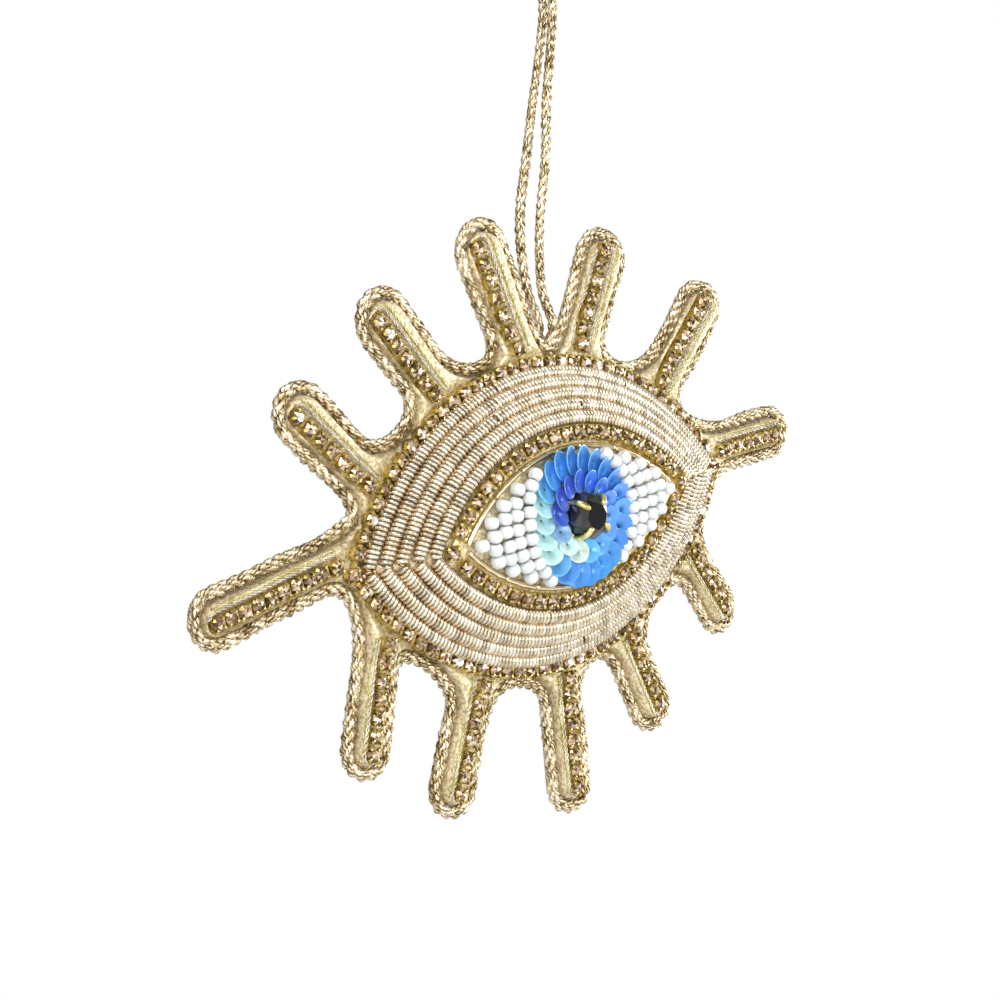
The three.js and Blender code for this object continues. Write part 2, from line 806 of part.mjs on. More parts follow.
// Half of the loop, from its lower end up to the top
function loopHalf(side) {
  const lower = frontSwingZ + flexGap / 2;
  const bend = cordRadius - loopRadius; // height of the bend's centre: the cord's inside rests on the hook
  const straight = lower + cordDiameter;
  const points = [new THREE.Vector3((side * strandPitch) / 2, 0, lower)];
  for (let i = 0; i <= 4; i += 1) {
    const x = lerp(strandPitch / 2, loopRadius, smoothstep(i, 0, 4));
    points.push(new THREE.Vector3(side * x, 0, lerp(straight, bend, i / 4)));
  }
  for (let i = 1; i < 4; i += 1) {
    const angle = (Math.PI * i) / 8;
    const x = side * loopRadius * Math.cos(angle);
    points.push(new THREE.Vector3(x, 0, bend + loopRadius * Math.sin(angle)));
  }
  return points;
}

function cordLoop() {
  const top = new THREE.Vector3(0, 0, cordRadius);
  return tube([...loopHalf(-1), top, ...loopHalf(1).reverse()], cordRadius, cordSides, 22);
}

// Between the two flexing points the strands make a quarter turn, the left one to the back
function throat(side) {
  const points = [];
  for (let i = 0; i <= 6; i += 1) {
    const angle = (side > 0 ? 0 : Math.PI) - (Math.PI / 2) * smoothstep(i, 0, 6);
    const z = lerp(frontSwingZ - flexGap / 2, sideSwingZ + flexGap / 2, i / 6);
    const direction = new THREE.Vector3(Math.cos(angle), Math.sin(angle), 0);
    points.push(direction.multiplyScalar(strandPitch / 2).setZ(z));
  }
  return tube(points, cordRadius, cordSides, 4);
}

function neck(side) {
  const y = (-side * strandPitch) / 2;
  const points = [sideSwingZ - flexGap / 2, spinZ + spinGap / 2].map((z) => new THREE.Vector3(0, y, z));
  return tube(points, cordRadius, cordSides, 1);
}

// The strands stay close, bow to the left, and part again where they are sewn
function strand(side) {
  const along = new THREE.Vector3(valleyAlong.x, 0, valleyAlong.y).applyMatrix4(balance);
  const end = sewnRoot.clone().addScaledVector(along, (-side * sewnAcross) / 2);
  end.y -= (side * sewnDepth) / 2;
  end.z += edgeCordRadius + sewnGap;
  const bow = side < 0 ? strandBowLeft : strandBowRight;
  const start = spinZ - spinGap / 2;
  const points = [new THREE.Vector3(0, (-side * strandPitch) / 2, start)];
  bow.forEach(([below, x, y]) => points.push(new THREE.Vector3(x, y, start - below)));
  points.push(end.clone().add(new THREE.Vector3(0, 0, cordDiameter)), end);
  return tube(points, cordRadius, cordSides, 16);
}

// Assembly

const cloth = { color: 0xd8c9a0, roughness: 0.45, metalness: 0.35 };
const plainCloth = { color: 0xcbb98e, roughness: 0.9, metalness: 0 };
const stuffing = { color: 0xeee8da, roughness: 1, metalness: 0 };
const goldCord = { color: 0xcfb173, roughness: 0.4, metalness: 0.6 };
const crystal = { color: 0xd9c79b, roughness: 0.12, metalness: 0.3 };
const purl = { color: 0xe0d3b0, roughness: 0.28, metalness: 0.9 };
const tubeBead = { color: 0xdcc48a, roughness: 0.2, metalness: 0.8 };
const whiteBead = { color: 0xf4f4f2, roughness: 0.18, metalness: 0 };
const sequinOuter = { color: 0x4a7fd6, roughness: 0.15, metalness: 0.3 };
const sequinInner = { color: 0x4f63c8, roughness: 0.15, metalness: 0.3 };
const blackStone = { color: 0x0b0b10, roughness: 0.05, metalness: 0.1 };
const gilt = { color: 0xd2aa5a, roughness: 0.25, metalness: 1 };

const ornament = new THREE.Group();

function put(name, geometry, look) {
  const mesh = new THREE.Mesh(geometry, new THREE.MeshStandardMaterial(look));
  mesh.name = name;
  ornament.add(mesh);
}

function hang(name, geometry, look) {
  put(name, geometry.applyMatrix4(hung), look);
}

hang("back_panel", backPanel(), plainCloth);
hang("padding", padding(), stuffing);
hang("front_panel", frontPanel(), cloth);
hang("edge_cord", edgeCord(), goldCord);
lashFrames.forEach((lash) => hang(`lash_stones_${lash.name}`, lashChain(lash), crystal));
hang("outer_stone_chain", rowChain(outerChainRun), crystal);
hang("inner_stone_chain", rowChain(innerChainRun), crystal);
for (let i = 0; i < purlRows; i += 1) hang(`purl_row_${i + 1}`, purlRow(i), purl);
hang("tube_bead_line", tubeBeadLine(), tubeBead);
hang("white_beads_left", seedBeads(-1), whiteBead);
hang("white_beads_right", seedBeads(1), whiteBead);
hang("sequin_ring_outer", sequinRing(outerSequinRadius, outerSequins), sequinOuter);
hang("sequin_ring_inner", sequinRing(innerSequinRadius, innerSequins), sequinInner);
hang("pupil_stone", pupilStone(), blackStone);
hang("pupil_setting", pupilSetting(), gilt);
put("cord_loop", cordLoop(), goldCord);
for (const [label, side] of [["left", -1], ["right", 1]]) {
  put(`cord_throat_${label}`, throat(side), goldCord);
  put(`cord_neck_${label}`, neck(side), goldCord);
  put(`cord_strand_${label}`, strand(side), goldCord);
}

export default ornament;
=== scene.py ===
# Beaded eye hanging ornament: the dressed model, in the part's own frame
import random
from math import asin, cos, degrees, hypot, pi, radians, sin

import bpy
from mathutils import Matrix, Vector
from mathutils.geometry import delaunay_2d_cdt
from mathutils.kdtree import KDTree


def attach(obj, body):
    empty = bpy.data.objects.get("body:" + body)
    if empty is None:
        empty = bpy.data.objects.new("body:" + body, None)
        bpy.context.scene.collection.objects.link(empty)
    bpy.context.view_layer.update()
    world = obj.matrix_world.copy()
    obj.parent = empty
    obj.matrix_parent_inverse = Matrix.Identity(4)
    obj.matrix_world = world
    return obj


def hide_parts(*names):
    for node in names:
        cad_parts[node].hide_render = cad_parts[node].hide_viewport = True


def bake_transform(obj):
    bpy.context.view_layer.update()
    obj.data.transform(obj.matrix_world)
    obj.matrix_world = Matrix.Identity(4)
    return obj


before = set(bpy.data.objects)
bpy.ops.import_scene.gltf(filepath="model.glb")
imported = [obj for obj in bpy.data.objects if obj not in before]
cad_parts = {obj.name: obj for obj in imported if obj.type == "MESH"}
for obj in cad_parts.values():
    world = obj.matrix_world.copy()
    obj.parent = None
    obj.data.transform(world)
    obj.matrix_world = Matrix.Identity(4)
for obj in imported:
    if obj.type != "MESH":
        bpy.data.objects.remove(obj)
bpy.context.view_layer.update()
dice = random.Random(11)

# Sizes in millimetres, as in the part
EYE_HALF_WIDTH = 34.5
EYE_HALF_HEIGHT = 20.0
OPEN_HALF_WIDTH = 20.5
OPEN_HALF_HEIGHT = 9.4
RIM_WIDTH = 1.8
CLOTH_TOP = 3.8
DOME_RISE = 6.6
DOME_POWER = 2.5
LASH_REACH = 18.0
LID_LASH = 6.0
OUTER_LID_LASH = 5.6
SLIM_LASH = 4.6
LAST_LASH = 4.2
# Each lash: place round the eye, heading, share of the reach, width, and how far its stones sit aside
LASHES = [
    ("right_corner", 2.6, -0.4, 1, SLIM_LASH, -0.4),
    ("upper_right_outer", 24, 40.5, 1.06, OUTER_LID_LASH, 0.9),
    ("upper_right_inner", 60, 57, 1.02, LID_LASH, 0.8),
    ("top_middle", 86.5, 105, 1.08, LID_LASH, 1.3),
    ("upper_left_inner", 127, 123.5, 0.97, LID_LASH, 1.3),
    ("upper_left_outer", 160.5, 130.5, 1, OUTER_LID_LASH, 1.1),
    ("left_corner", 176, 187.5, 1.38, SLIM_LASH, 0.4),
    ("lower_left_outer", 194, 249.5, 1.06, SLIM_LASH, 0.4),
    ("lower_left_inner", 229.5, 243, 1.03, SLIM_LASH, 0.6),
    ("bottom_middle", 269.5, 266, 1.09, SLIM_LASH, 0.4),
    ("lower_right_inner", 303, 288.5, 0.86, SLIM_LASH, 0.8),
    ("lower_right_outer", 339, 299, 0.84, LAST_LASH, 0.7),
]
LASH_COUNT = len(LASHES)
HANG_VALLEY = 2
LASH_ROOT_SHARE = 0.9
LASH_START = 6.0
LASH_TIP_GAP = 0.7
EDGE_CORD_RADIUS = 0.95
EDGE_CORD_OFFSET = EDGE_CORD_RADIUS + 0.15
EDGE_CORD_LEVEL = 2.3
STONE_WIDTH = 2.1
STONE_PITCH = 2.35
LASH_PITCH = 2.2
CORNER_PITCH = 3.0
CHAIN_GAP = 0.2
PURL_ROWS = 5
PURL_BED = 0.6
TUBE_BEAD_RADIUS = 0.4
SEED_RADIUS = 1.0
SEED_ROW_PITCH = 2.1
PUPIL_RADIUS = 3.25
LAYER_GAP = 0.3
CORD_RADIUS = 0.75
HOOK_TO_ROOT = 70.0
LOOP_RADIUS = 4.0
STRAND_PITCH = 1.9
SEWN_ACROSS = 1.0
SEWN_DEPTH = 1.7
SEWN_GAP = 1.3
FRONT_SWING_Z = -13.0
SIDE_SWING_Z = -17.0
SPIN_Z = -21.0
FLEX_GAP = 0.6
SPIN_GAP = 0.4
ROLL = radians(-18)
LEAN = radians(5.7)

OPEN_RUN = OPEN_HALF_HEIGHT - EYE_HALF_HEIGHT
SPREAD = (OPEN_HALF_WIDTH - EYE_HALF_WIDTH) / OPEN_RUN
OUTER_CHAIN_RUN = CHAIN_GAP + STONE_WIDTH / 2
INNER_CHAIN_RUN = OPEN_RUN + TUBE_BEAD_RADIUS + CHAIN_GAP + STONE_WIDTH / 2
PURL_END_RUN = INNER_CHAIN_RUN + STONE_WIDTH / 2 + CHAIN_GAP
IRIS_RADIUS = OPEN_HALF_HEIGHT - TUBE_BEAD_RADIUS - CHAIN_GAP
MM = 0.001
FRONT = Vector((0, -1, 0))


# Helpers that many pieces share

def ease(t):
    return t * t * (3 - 2 * t)


def jitter(most):
    return dice.uniform(-most, most)


def circle(count, shift=0.0):
    """Angles evenly round a circle."""
    return [2 * pi * (k + shift) / count for k in range(count)]


def polar(radius, angle):
    return radius * cos(angle), radius * sin(angle)


def halved(near, far, before):
    """Ends of a span halved 40 times, round the place where before stops being true."""
    for _ in range(40):
        middle = (near + far) / 2
        if before(middle):
            near = middle
        else:
            far = middle
    return near, far


def arc(points):
    """Length of a line up to each of its points."""
    lengths = [0.0]
    for a, b in zip(points, points[1:]):
        lengths.append(lengths[-1] + (b - a).length)
    return lengths


def steps_at(lengths, wanted):
    """The step that each wanted length falls in, and the share of that step."""
    found, index = [], 0
    for length in wanted:
        while index < len(lengths) - 2 and lengths[index + 1] < length:
            index += 1
        span = lengths[index + 1] - lengths[index] or 1
        found.append((index, (length - lengths[index]) / span))
    return found


# Almond rows and the dome, as in the part: a run is how far a row lies outside the foot of the eye

def almond(run):
    half_height = EYE_HALF_HEIGHT + run
    half_width = EYE_HALF_WIDTH + run * SPREAD
    radius = (half_width**2 + half_height**2) / (2 * half_height)
    return radius, radius - half_height, asin(min(1, half_width / radius))


def almond_point(run, turn):
    radius, sink, sweep = almond(run)
    turn %= 1
    upper = turn < 0.5
    angle = sweep - 4 * sweep * turn if upper else 4 * sweep * (turn - 0.5) - sweep
    height = radius * cos(angle) - sink
    return Vector((radius * sin(angle), height if upper else -height))


def dome_at(run):
    share = min(1, max(0, -run / EYE_HALF_HEIGHT))
    return DOME_RISE * (1 - (1 - share) ** DOME_POWER)


def run_at(x, z):
    """Run of the row that passes through a place."""
    def short(run):
        radius, sink, _ = almond(run)
        return hypot(x, abs(z) + sink) >= radius

    return halved(0.001 - EYE_HALF_HEIGHT, 40.0, short)[1]


def local(x, z, level):
    return Vector((x, -level, z))


def on_cloth(x, z, lift):
    return local(x, z, CLOTH_TOP + dome_at(run_at(x, z)) + lift)


def on_row(run, turn):
    flat = almond_point(run, turn)
    return local(*flat, CLOTH_TOP + dome_at(run))


def row_frame(run, turn):
    along = (on_row(run, turn + 0.003) - on_row(run, turn - 0.003)).normalized()
    outward = on_row(run + 0.1, turn) - on_row(run - 0.1, turn)
    up = outward.cross(along).normalized()
    return on_row(run, turn), along, up.cross(along), up


def lid_turns(run, pitch, margin):
    """Turns round a row: at its two corners, and evenly along each lid between them."""
    samples = 400
    lengths = arc([on_row(run, i / (2 * samples + 0.001)) for i in range(samples + 1)])
    room = lengths[-1] - 2 * margin
    count = int(room / pitch) + 1
    wanted = [margin + room * i / (count - 1) for i in range(count)]
    turns = [0.0] + [(index + share) / (2 * samples) for index, share in steps_at(lengths, wanted)]
    return turns + [turn + 0.5 for turn in turns]


# Outline of the cloth, as in the part

def heading(angle):
    return Vector(polar(1, radians(angle)))


def rim_place(angle):
    direction = heading(angle)
    near, _ = halved(0.0, 80.0, lambda reach: run_at(direction.x * reach, direction.y * reach) < RIM_WIDTH)
    return direction * near


class Lash:
    def __init__(self, name, at, toward, reach, width, aside):
        self.name = name
        self.foot = rim_place(at)
        self.along = heading(toward)
        self.left = Vector((-self.along.y, self.along.x))
        self.reach = reach * LASH_REACH
        self.half = width / 2
        self.aside = aside
        edge = OUTER_CHAIN_RUN + STONE_WIDTH / 2 + CHAIN_GAP
        corners = [aside - STONE_WIDTH / 2, aside, aside + STONE_WIDTH / 2]
        clear = 0.0
        while any(run_at(*self.place(clear, across)) < edge for across in corners):
            clear += 0.1
        self.first = clear + STONE_WIDTH / 2
        self.last = self.reach - LASH_TIP_GAP - STONE_WIDTH / 2

    def place(self, distance, aside):
        return self.foot + self.along * distance + self.left * aside

    def side(self, sign):
        return self.place(LASH_START, sign * self.half * LASH_ROOT_SHARE)


lashes = [Lash(*row) for row in LASHES]


def valley(index, steps):
    before, after = lashes[index], lashes[(index + 1) % LASH_COUNT]
    start, end = before.side(1), after.side(-1)
    middle = (start + end) / 2
    inward = (before.along + after.along) * -0.5
    near, _ = halved(0.0, 4 * LASH_START, lambda tried: run_at(*(middle + inward * tried)) > RIM_WIDTH)
    pull = near / 0.75
    first, second = start - before.along * pull, end - after.along * pull
    points = []
    for i in range(steps + 1):
        t = i / steps
        s = 1 - t
        points.append(start * s**3 + first * 3 * t * s**2 + second * 3 * t * t * s + end * t**3)
    return points


def outline(tip_steps, valley_steps, side_steps):
    points = []
    half = valley_steps // 2
    for i in range(LASH_COUNT):
        index = (HANG_VALLEY + i) % LASH_COUNT
        lash = lashes[(index + 1) % LASH_COUNT]
        curve = valley(index, valley_steps)
        points += curve[half:] if i == 0 else curve
        far = lash.reach - lash.half
        root = lash.half * LASH_ROOT_SHARE
        shares = [k / side_steps for k in range(1, side_steps)]
        flank = [(LASH_START + (far - LASH_START) * s, root + (lash.half - root) * s) for s in shares]
        turns = [pi * (k / tip_steps - 0.5) for k in range(tip_steps + 1)]
        points += [lash.place(distance, -across) for distance, across in flank]
        points += [lash.place(far + lash.half * cos(t), lash.half * sin(t)) for t in turns]
        points += [lash.place(distance, across) for distance, across in reversed(flank)]
    return points + valley(HANG_VALLEY, valley_steps)[:half]


def offset(points, distance):
    moved = []
    for i, here in enumerate(points):
        into = (here - points[i - 1]).normalized()
        out = (points[(i + 1) % len(points)] - here).normalized()
        normal = Vector((into.y + out.y, -into.x - out.x)).normalized()
        moved.append(here + normal * distance / max(0.5, normal.dot(Vector((out.y, -out.x)))))
    return moved


coarse = outline(5, 6, 1)
fine = outline(14, 20, 6)
root = offset(coarse, EDGE_CORD_OFFSET)[0]
valley_along = (coarse[1] - coarse[-1]).normalized()
BALANCE = Matrix.Rotation(LEAN, 4, "X") @ Matrix.Rotation(ROLL, 4, "Y")
SEWN = Vector((0, 0, -HOOK_TO_ROOT))
HUNG = Matrix.Translation(SEWN) @ BALANCE @ Matrix.Translation(-local(*root, EDGE_CORD_LEVEL))


# Meshes

def placed(name, data):
    thing = bpy.data.objects.new(name, data)
    bpy.context.scene.collection.objects.link(thing)
    return thing


class Net:
    """Faces gathered in millimetres and made into one mesh in metres."""

    def __init__(self, matrix=HUNG):
        self.matrix = matrix
        self.verts, self.faces, self.slots, self.uvs, self.tints = [], [], [], [], []

    def vert(self, place):
        self.verts.append((self.matrix @ place) * MM)
        return len(self.verts) - 1

    def ring(self, places):
        return [self.vert(place) for place in places]

    def face(self, corners, slot=0, uv=None, tint=(1, 1, 1)):
        self.faces.append(corners)
        self.slots.append(slot)
        self.uvs.append(uv or [(0, 0)] * len(corners))
        self.tints.append(tint)

    def strip(self, a, b, slot=0, uv=None, tint=(1, 1, 1)):
        count = len(a)
        for i in range(count):
            j = (i + 1) % count
            patch = None
            if uv:
                ua, ub, va, vb = uv
                left, right = i / count, (i + 1) / count
                patch = [(ua + left, va), (ua + right, va), (ub + right, vb), (ub + left, vb)]
            self.face((a[i], a[j], b[j], b[i]), slot, patch, tint)

    def skin(self, rings, tint=(1, 1, 1)):
        for a, b in zip(rings, rings[1:]):
            self.strip(a, b, 0, None, tint)

    def make(self, name, materials, body="eye", smooth=True, sharp_angle=None):
        mesh = bpy.data.meshes.new(name)
        mesh.from_pydata(self.verts, [], self.faces)
        for material in materials:
            mesh.materials.append(material)
        mesh.polygons.foreach_set("material_index", self.slots)
        mesh.polygons.foreach_set("use_smooth", [smooth] * len(self.faces))
        layer = mesh.uv_layers.new(name="UVMap")
        layer.data.foreach_set("uv", [number for uv in self.uvs for pair in uv for number in pair])
        tint = mesh.color_attributes.new("tint", "FLOAT_COLOR", "CORNER")
        colours = [number for f, t in zip(self.faces, self.tints) for _ in f for number in (*t, 1)]
        tint.data.foreach_set("color", colours)
        mesh.update()
        if sharp_angle:
            mesh.set_sharp_from_angle(angle=radians(sharp_angle))
        piece = placed(name, mesh)
        if body:
            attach(piece, body)
        return piece


def spaced(points, step):
    """Points along a line at an even step, and that step."""
    lengths = arc(points)
    count = max(2, round(lengths[-1] / step))
    wanted = [lengths[-1] * i / count for i in range(count + 1)]
    out = [points[i].lerp(points[i + 1], share) for i, share in steps_at(lengths, wanted)]
    return out, lengths[-1] / count


def tangents(points):
    last = len(points) - 1
    return [(points[min(last, i + 1)] - points[max(0, i - 1)]).normalized() for i in range(last + 1)]


def carried(points, normal):
    """Normals carried along a line without twist."""
    out = []
    for tangent in tangents(points):
        normal = (normal - tangent * normal.dot(tangent)).normalized()
        out.append(normal)
    return out


def tube(net, points, normals, radius, sides, slot=0, run=0.0, stripes=1.0):
    """A round tube with closed ends; its texture coordinate runs round it and along it."""
    rings = []
    for i, (centre, tangent, normal) in enumerate(zip(points, tangents(points), normals)):
        normal = (normal - tangent * normal.dot(tangent)).normalized()
        binormal = tangent.cross(normal)
        size = radius[i] if isinstance(radius, list) else radius
        normal, binormal = normal * size, binormal * size
        rings.append(net.ring([centre + normal * cos(t) + binormal * sin(t) for t in circle(sides)]))
    length = run
    for i in range(1, len(rings)):
        end = length + (points[i] - points[i - 1]).length
        net.strip(rings[i - 1], rings[i], slot, (length * stripes, end * stripes, length, end))
        length = end
    net.face(tuple(reversed(rings[0])), slot)
    net.face(tuple(rings[-1]), slot)


def rope(net, points, normals, radius, lay, plies=3, run=0.0, sides=7, slot=0):
    """Uneven plies wound round a line: run is the arc length already used, so that pieces join."""
    lines = tangents(points)
    fat = radius * 0.5
    for ply in range(plies):
        centres, outs, sizes = [], [], []
        for centre, tangent, normal, length in zip(points, lines, normals, arc(points)):
            length += run
            angle = 2 * pi * (length / lay + ply / plies)
            binormal = tangent.cross(normal)
            out = normal * cos(angle) + binormal * sin(angle)
            # Slow and quick waves, out of step from ply to ply
            sway = 1 + 0.14 * sin(1.7 * length + 2.1 * ply) + 0.12 * sin(4.3 * length + 1.3 * ply)
            centres.append(centre + out * (radius - fat) * sway)
            outs.append(out)
            sizes.append(fat * (1 + 0.15 * sin(2.9 * length + 4 * ply)))
        tube(net, centres, outs, sizes, sides, slot, run + ply * 0.37, 0.55)


# Materials: helpers that build node trees, then one function for each kind of surface

def start(name):
    material = bpy.data.materials.new(name)
    material.use_nodes = True
    tree = material.node_tree
    return material, tree, tree.nodes["Principled BSDF"]


def plug(tree, socket, value):
    if isinstance(value, bpy.types.NodeSocket):
        tree.links.new(value, socket)
    else:
        socket.default_value = value


def feed(tree, node, **values):
    for key, value in values.items():
        plug(tree, node.inputs[key.replace("_", " ")], value)


def add(tree, kind, settings=None, **values):
    node = tree.nodes.new("ShaderNode" + kind)
    for key, value in (settings or {}).items():
        setattr(node, key, value)
    feed(tree, node, **values)
    return node


def noise(tree, scale, detail=3.0, rough=0.55, where=None):
    where = where or add(tree, "TexCoord").outputs["Object"]
    node = add(tree, "TexNoise", Vector=where, Scale=scale, Detail=detail, Roughness=rough)
    return node.outputs["Fac"]


def ramp(tree, fac, stops):
    node = add(tree, "ValToRGB", Fac=fac)
    band = node.color_ramp
    while len(band.elements) < len(stops):
        band.elements.new(0.5)
    for element, (place, colour) in zip(band.elements, stops):
        element.position = place
        element.color = (*colour, 1)
    return node.outputs["Color"]


def maths(tree, operation, *operands):
    node = add(tree, "Math", {"operation": operation})
    for socket, value in zip(node.inputs, operands):
        plug(tree, socket, value)
    return node.outputs[0]


def scaled(tree, value, factor, extra=0.0):
    return maths(tree, "MULTIPLY_ADD", value, factor, extra)


def painted(tree, colour):
    """A colour times the tint that the faces of the mesh carry."""
    tint = add(tree, "VertexColor", {"layer_name": "tint"}).outputs["Color"]
    node = add(tree, "Mix", {"data_type": "RGBA", "blend_type": "MULTIPLY"})
    for index, value in ((0, 1.0), (6, tint), (7, colour)):
        plug(tree, node.inputs[index], value)
    return node.outputs[2]


def bump(tree, shader, height, strength, distance):
    node = add(tree, "Bump", Height=height, Strength=strength, Distance=distance)
    feed(tree, shader, Normal=node.outputs["Normal"])


def thread_metal(name, tones, threads, roughness, metallic):
    """Metallic yarn: fine threads wound along each ply, unevenly bright: dark lines between threads are
    painted shade and bright streaks painted glints.
    """
    material, tree, shader = start(name)
    uv = add(tree, "UVMap", {"uv_map": "UVMap"}).outputs["UV"]
    split = add(tree, "SeparateXYZ", Vector=uv)
    # Painted shade: a darker line between neighbouring threads
    thread_shade_wave = maths(tree, "SINE", scaled(tree, split.outputs["X"], 2 * pi * threads))
    stretched = add(tree, "VectorMath", {"operation": "MULTIPLY"})
    plug(tree, stretched.inputs[0], uv)
    plug(tree, stretched.inputs[1], (1.3 * threads, 0.7, 1))
    # Painted glints: bright streaks stretched along the threads
    glint_streak = noise(tree, 1.0, 3, 0.7, stretched.outputs["Vector"])
    uneven = scaled(tree, noise(tree, 420, 3), 0.45, glint_streak)
    tone = scaled(tree, thread_shade_wave, 0.07, maths(tree, "SUBTRACT", uneven, 0.22))
    rough = scaled(tree, glint_streak, 0.3, roughness - 0.15)
    feed(tree, shader, Base_Color=ramp(tree, tone, tones), Metallic=metallic, Roughness=rough)
    bump(tree, shader, tone, 0.6, 0.00015)
    return material


def layered(tree, layers, base=0.0):
    """A base with noises added, each given by its share, scale, detail and roughness."""
    for share, *kind in layers:
        base = scaled(tree, noise(tree, *kind), share, base)
    return base


def surface(name, tones, grain, wear=None, relief=None, tint=False, **inputs):
    """Toned by the noises in grain; wear is the least roughness and its noises, and relief the bump's
    strength, height and noises."""
    material, tree, shader = start(name)
    colour = ramp(tree, layered(tree, grain), tones)
    feed(tree, shader, Base_Color=painted(tree, colour) if tint else colour, **inputs)
    if wear:
        feed(tree, shader, Roughness=layered(tree, wear[1], wear[0]))
    if relief:
        bump(tree, shader, layered(tree, relief[2]), relief[0], relief[1])
    return material


def polished_gold(name, dark, light, roughness):
    wear, relief = (roughness - 0.1, [(0.2, 1500, 2)]), (0.12, 0.0001, [(1, 1200, 2)])
    return surface(name, [(0.3, dark), (0.7, light)], [(1, 500, 3)], wear, relief, Metallic=1)


def tinted(name, metallic, roughness, coat):
    """Colour painted on the faces of the mesh, with a fine unevenness and a clear coat."""
    flaws = [(0.3, (0.82, 0.82, 0.82)), (0.7, (1, 1, 1))]
    inputs = {"Metallic": metallic, "Roughness": roughness, "Coat_Weight": coat, "Coat_Roughness": 0.03}
    return surface(name, flaws, [(1, 900, 2)], tint=True, **inputs)


# Cord tones: its gold, with near-black painted shade and near-white painted glints
CORD_GOLD_SHADE_AND_GLINTS = [
    (0.39, (0.13, 0.08, 0.03)), (0.46, (0.44, 0.32, 0.15)),
    (0.53, (0.8, 0.65, 0.39)), (0.62, (0.98, 0.92, 0.77)),
]
THREAD_TONES = [(0.4, (0.45, 0.37, 0.1)), (0.5, (0.84, 0.77, 0.31)), (0.6, (0.98, 0.96, 0.74))]
PALE_TONES = [(0.4, (0.45, 0.37, 0.25)), (0.5, (0.86, 0.78, 0.64)), (0.6, (0.98, 0.96, 0.9))]
GOLD_CORD = thread_metal("gold_cord", CORD_GOLD_SHADE_AND_GLINTS, threads=4, roughness=0.32, metallic=0.8)
SEW_THREAD = thread_metal("sew_thread", THREAD_TONES, threads=3, roughness=0.35, metallic=0.6)
PALE_THREAD = thread_metal("pale_thread", PALE_TONES, threads=3, roughness=0.35, metallic=0.6)
LAME_TONES = [(0.4, (0.5, 0.395, 0.21)), (0.5, (0.75, 0.635, 0.395)), (0.6, (0.94, 0.86, 0.64))]
PURL_TONES = [(0.32, (0.62, 0.5, 0.33)), (0.5, (0.84, 0.75, 0.58)), (0.66, (0.98, 0.95, 0.88))]
WHITE_TONES = [(0.3, (0.66, 0.69, 0.69)), (0.7, (0.76, 0.78, 0.775))]
SUEDE_TONES = [(0.3, (0.42, 0.34, 0.2)), (0.7, (0.62, 0.53, 0.36))]
LAME_GRAIN = (1900, 2, 0.7)
NAP = (2200, 4, 0.7)
LAME = surface(
    "lame_cloth", LAME_TONES, [(0.8, *LAME_GRAIN), (0.2, 260, 4)],
    relief=(0.55, 0.0003, [(1.2, 420, 2), (1, *LAME_GRAIN)]), Metallic=0.5, Roughness=0.42,
)
PURL = surface(
    "purl_wire", PURL_TONES, [(1, 700, 4, 0.7)], wear=(0.12, [(0.25, 700, 2)]), tint=True, Metallic=0.88,
)
GILT = polished_gold("gilt", (0.43, 0.325, 0.09), (0.84, 0.7, 0.31), roughness=0.28)
TUBE_GOLD = polished_gold("tube_bead", (0.86, 0.67, 0.38), (0.98, 0.87, 0.64), roughness=0.22)
CRYSTAL = tinted("crystal", metallic=0.5, roughness=0.1, coat=0.35)
SEQUIN = tinted("sequin", metallic=0.2, roughness=0.25, coat=0.35)
BLACK = tinted("black_stone", metallic=0.0, roughness=0.05, coat=0.5)
WHITE = surface(
    "white_bead", WHITE_TONES, [(1, 350, 2)], relief=(0.08, 0.0002, [(1, 600, 2)]), Roughness=0.22,
    Subsurface_Weight=0.45, Subsurface_Radius=[0.0008] * 3, Subsurface_Scale=1.0,
    Coat_Weight=0.4, Coat_Roughness=0.05,
)
SUEDE = surface(
    "suede_back", SUEDE_TONES, [(0.5, *NAP), (0.5, 90, 3)], relief=(0.5, 0.0002, [(1, *NAP)]),
    Roughness=0.92, Sheen_Weight=0.35,
)


# Camera, at the photograph's place and angle: fitted to the lash tips and the almond

SENSOR = 36
FOCAL_SHARE = 2.45
CAMERA_AWAY = 347.4
CAMERA_TURNS = (("X", 1.4), ("Z", 44.2), ("Y", -11.7))
CAMERA_AIM = (-23.8 / 2450, 1, 14.6 / 2450)


def photo_camera():
    data = bpy.data.cameras.new("camera")
    data.sensor_width = SENSOR
    data.lens = SENSOR * FOCAL_SHARE
    data.clip_start = 0.01
    data.clip_end = 20
    camera = placed("camera", data)
    turn = Matrix.Identity(4)
    for axis, angle in CAMERA_TURNS:
        turn = turn @ Matrix.Rotation(radians(angle), 4, axis)
    back = HUNG @ turn.inverted()
    ahead = Vector(CAMERA_AIM).normalized()
    right = ahead.cross(Vector((0, 0, 1))).normalized()
    axes = Matrix((right, right.cross(ahead), -ahead)).transposed().to_4x4()
    place = Matrix.Translation((back @ (FRONT * CAMERA_AWAY)) * MM)
    camera.matrix_world = place @ back.to_3x3().to_4x4() @ axes
    bpy.context.scene.camera = camera


photo_camera()


# Hanging cord: one line from the left sewn end, over the hook, to the right sewn end

CORD_LAY = 4.6
CORD_STEP = 0.3
HALF_PITCH = STRAND_PITCH / 2
THROAT_TOP = FRONT_SWING_Z - FLEX_GAP / 2
THROAT_FOOT = SIDE_SWING_Z + FLEX_GAP / 2
NECK_ENDS = (SIDE_SWING_Z - FLEX_GAP / 2, SPIN_Z + SPIN_GAP / 2)
STRAND_TOP = SPIN_Z - SPIN_GAP / 2
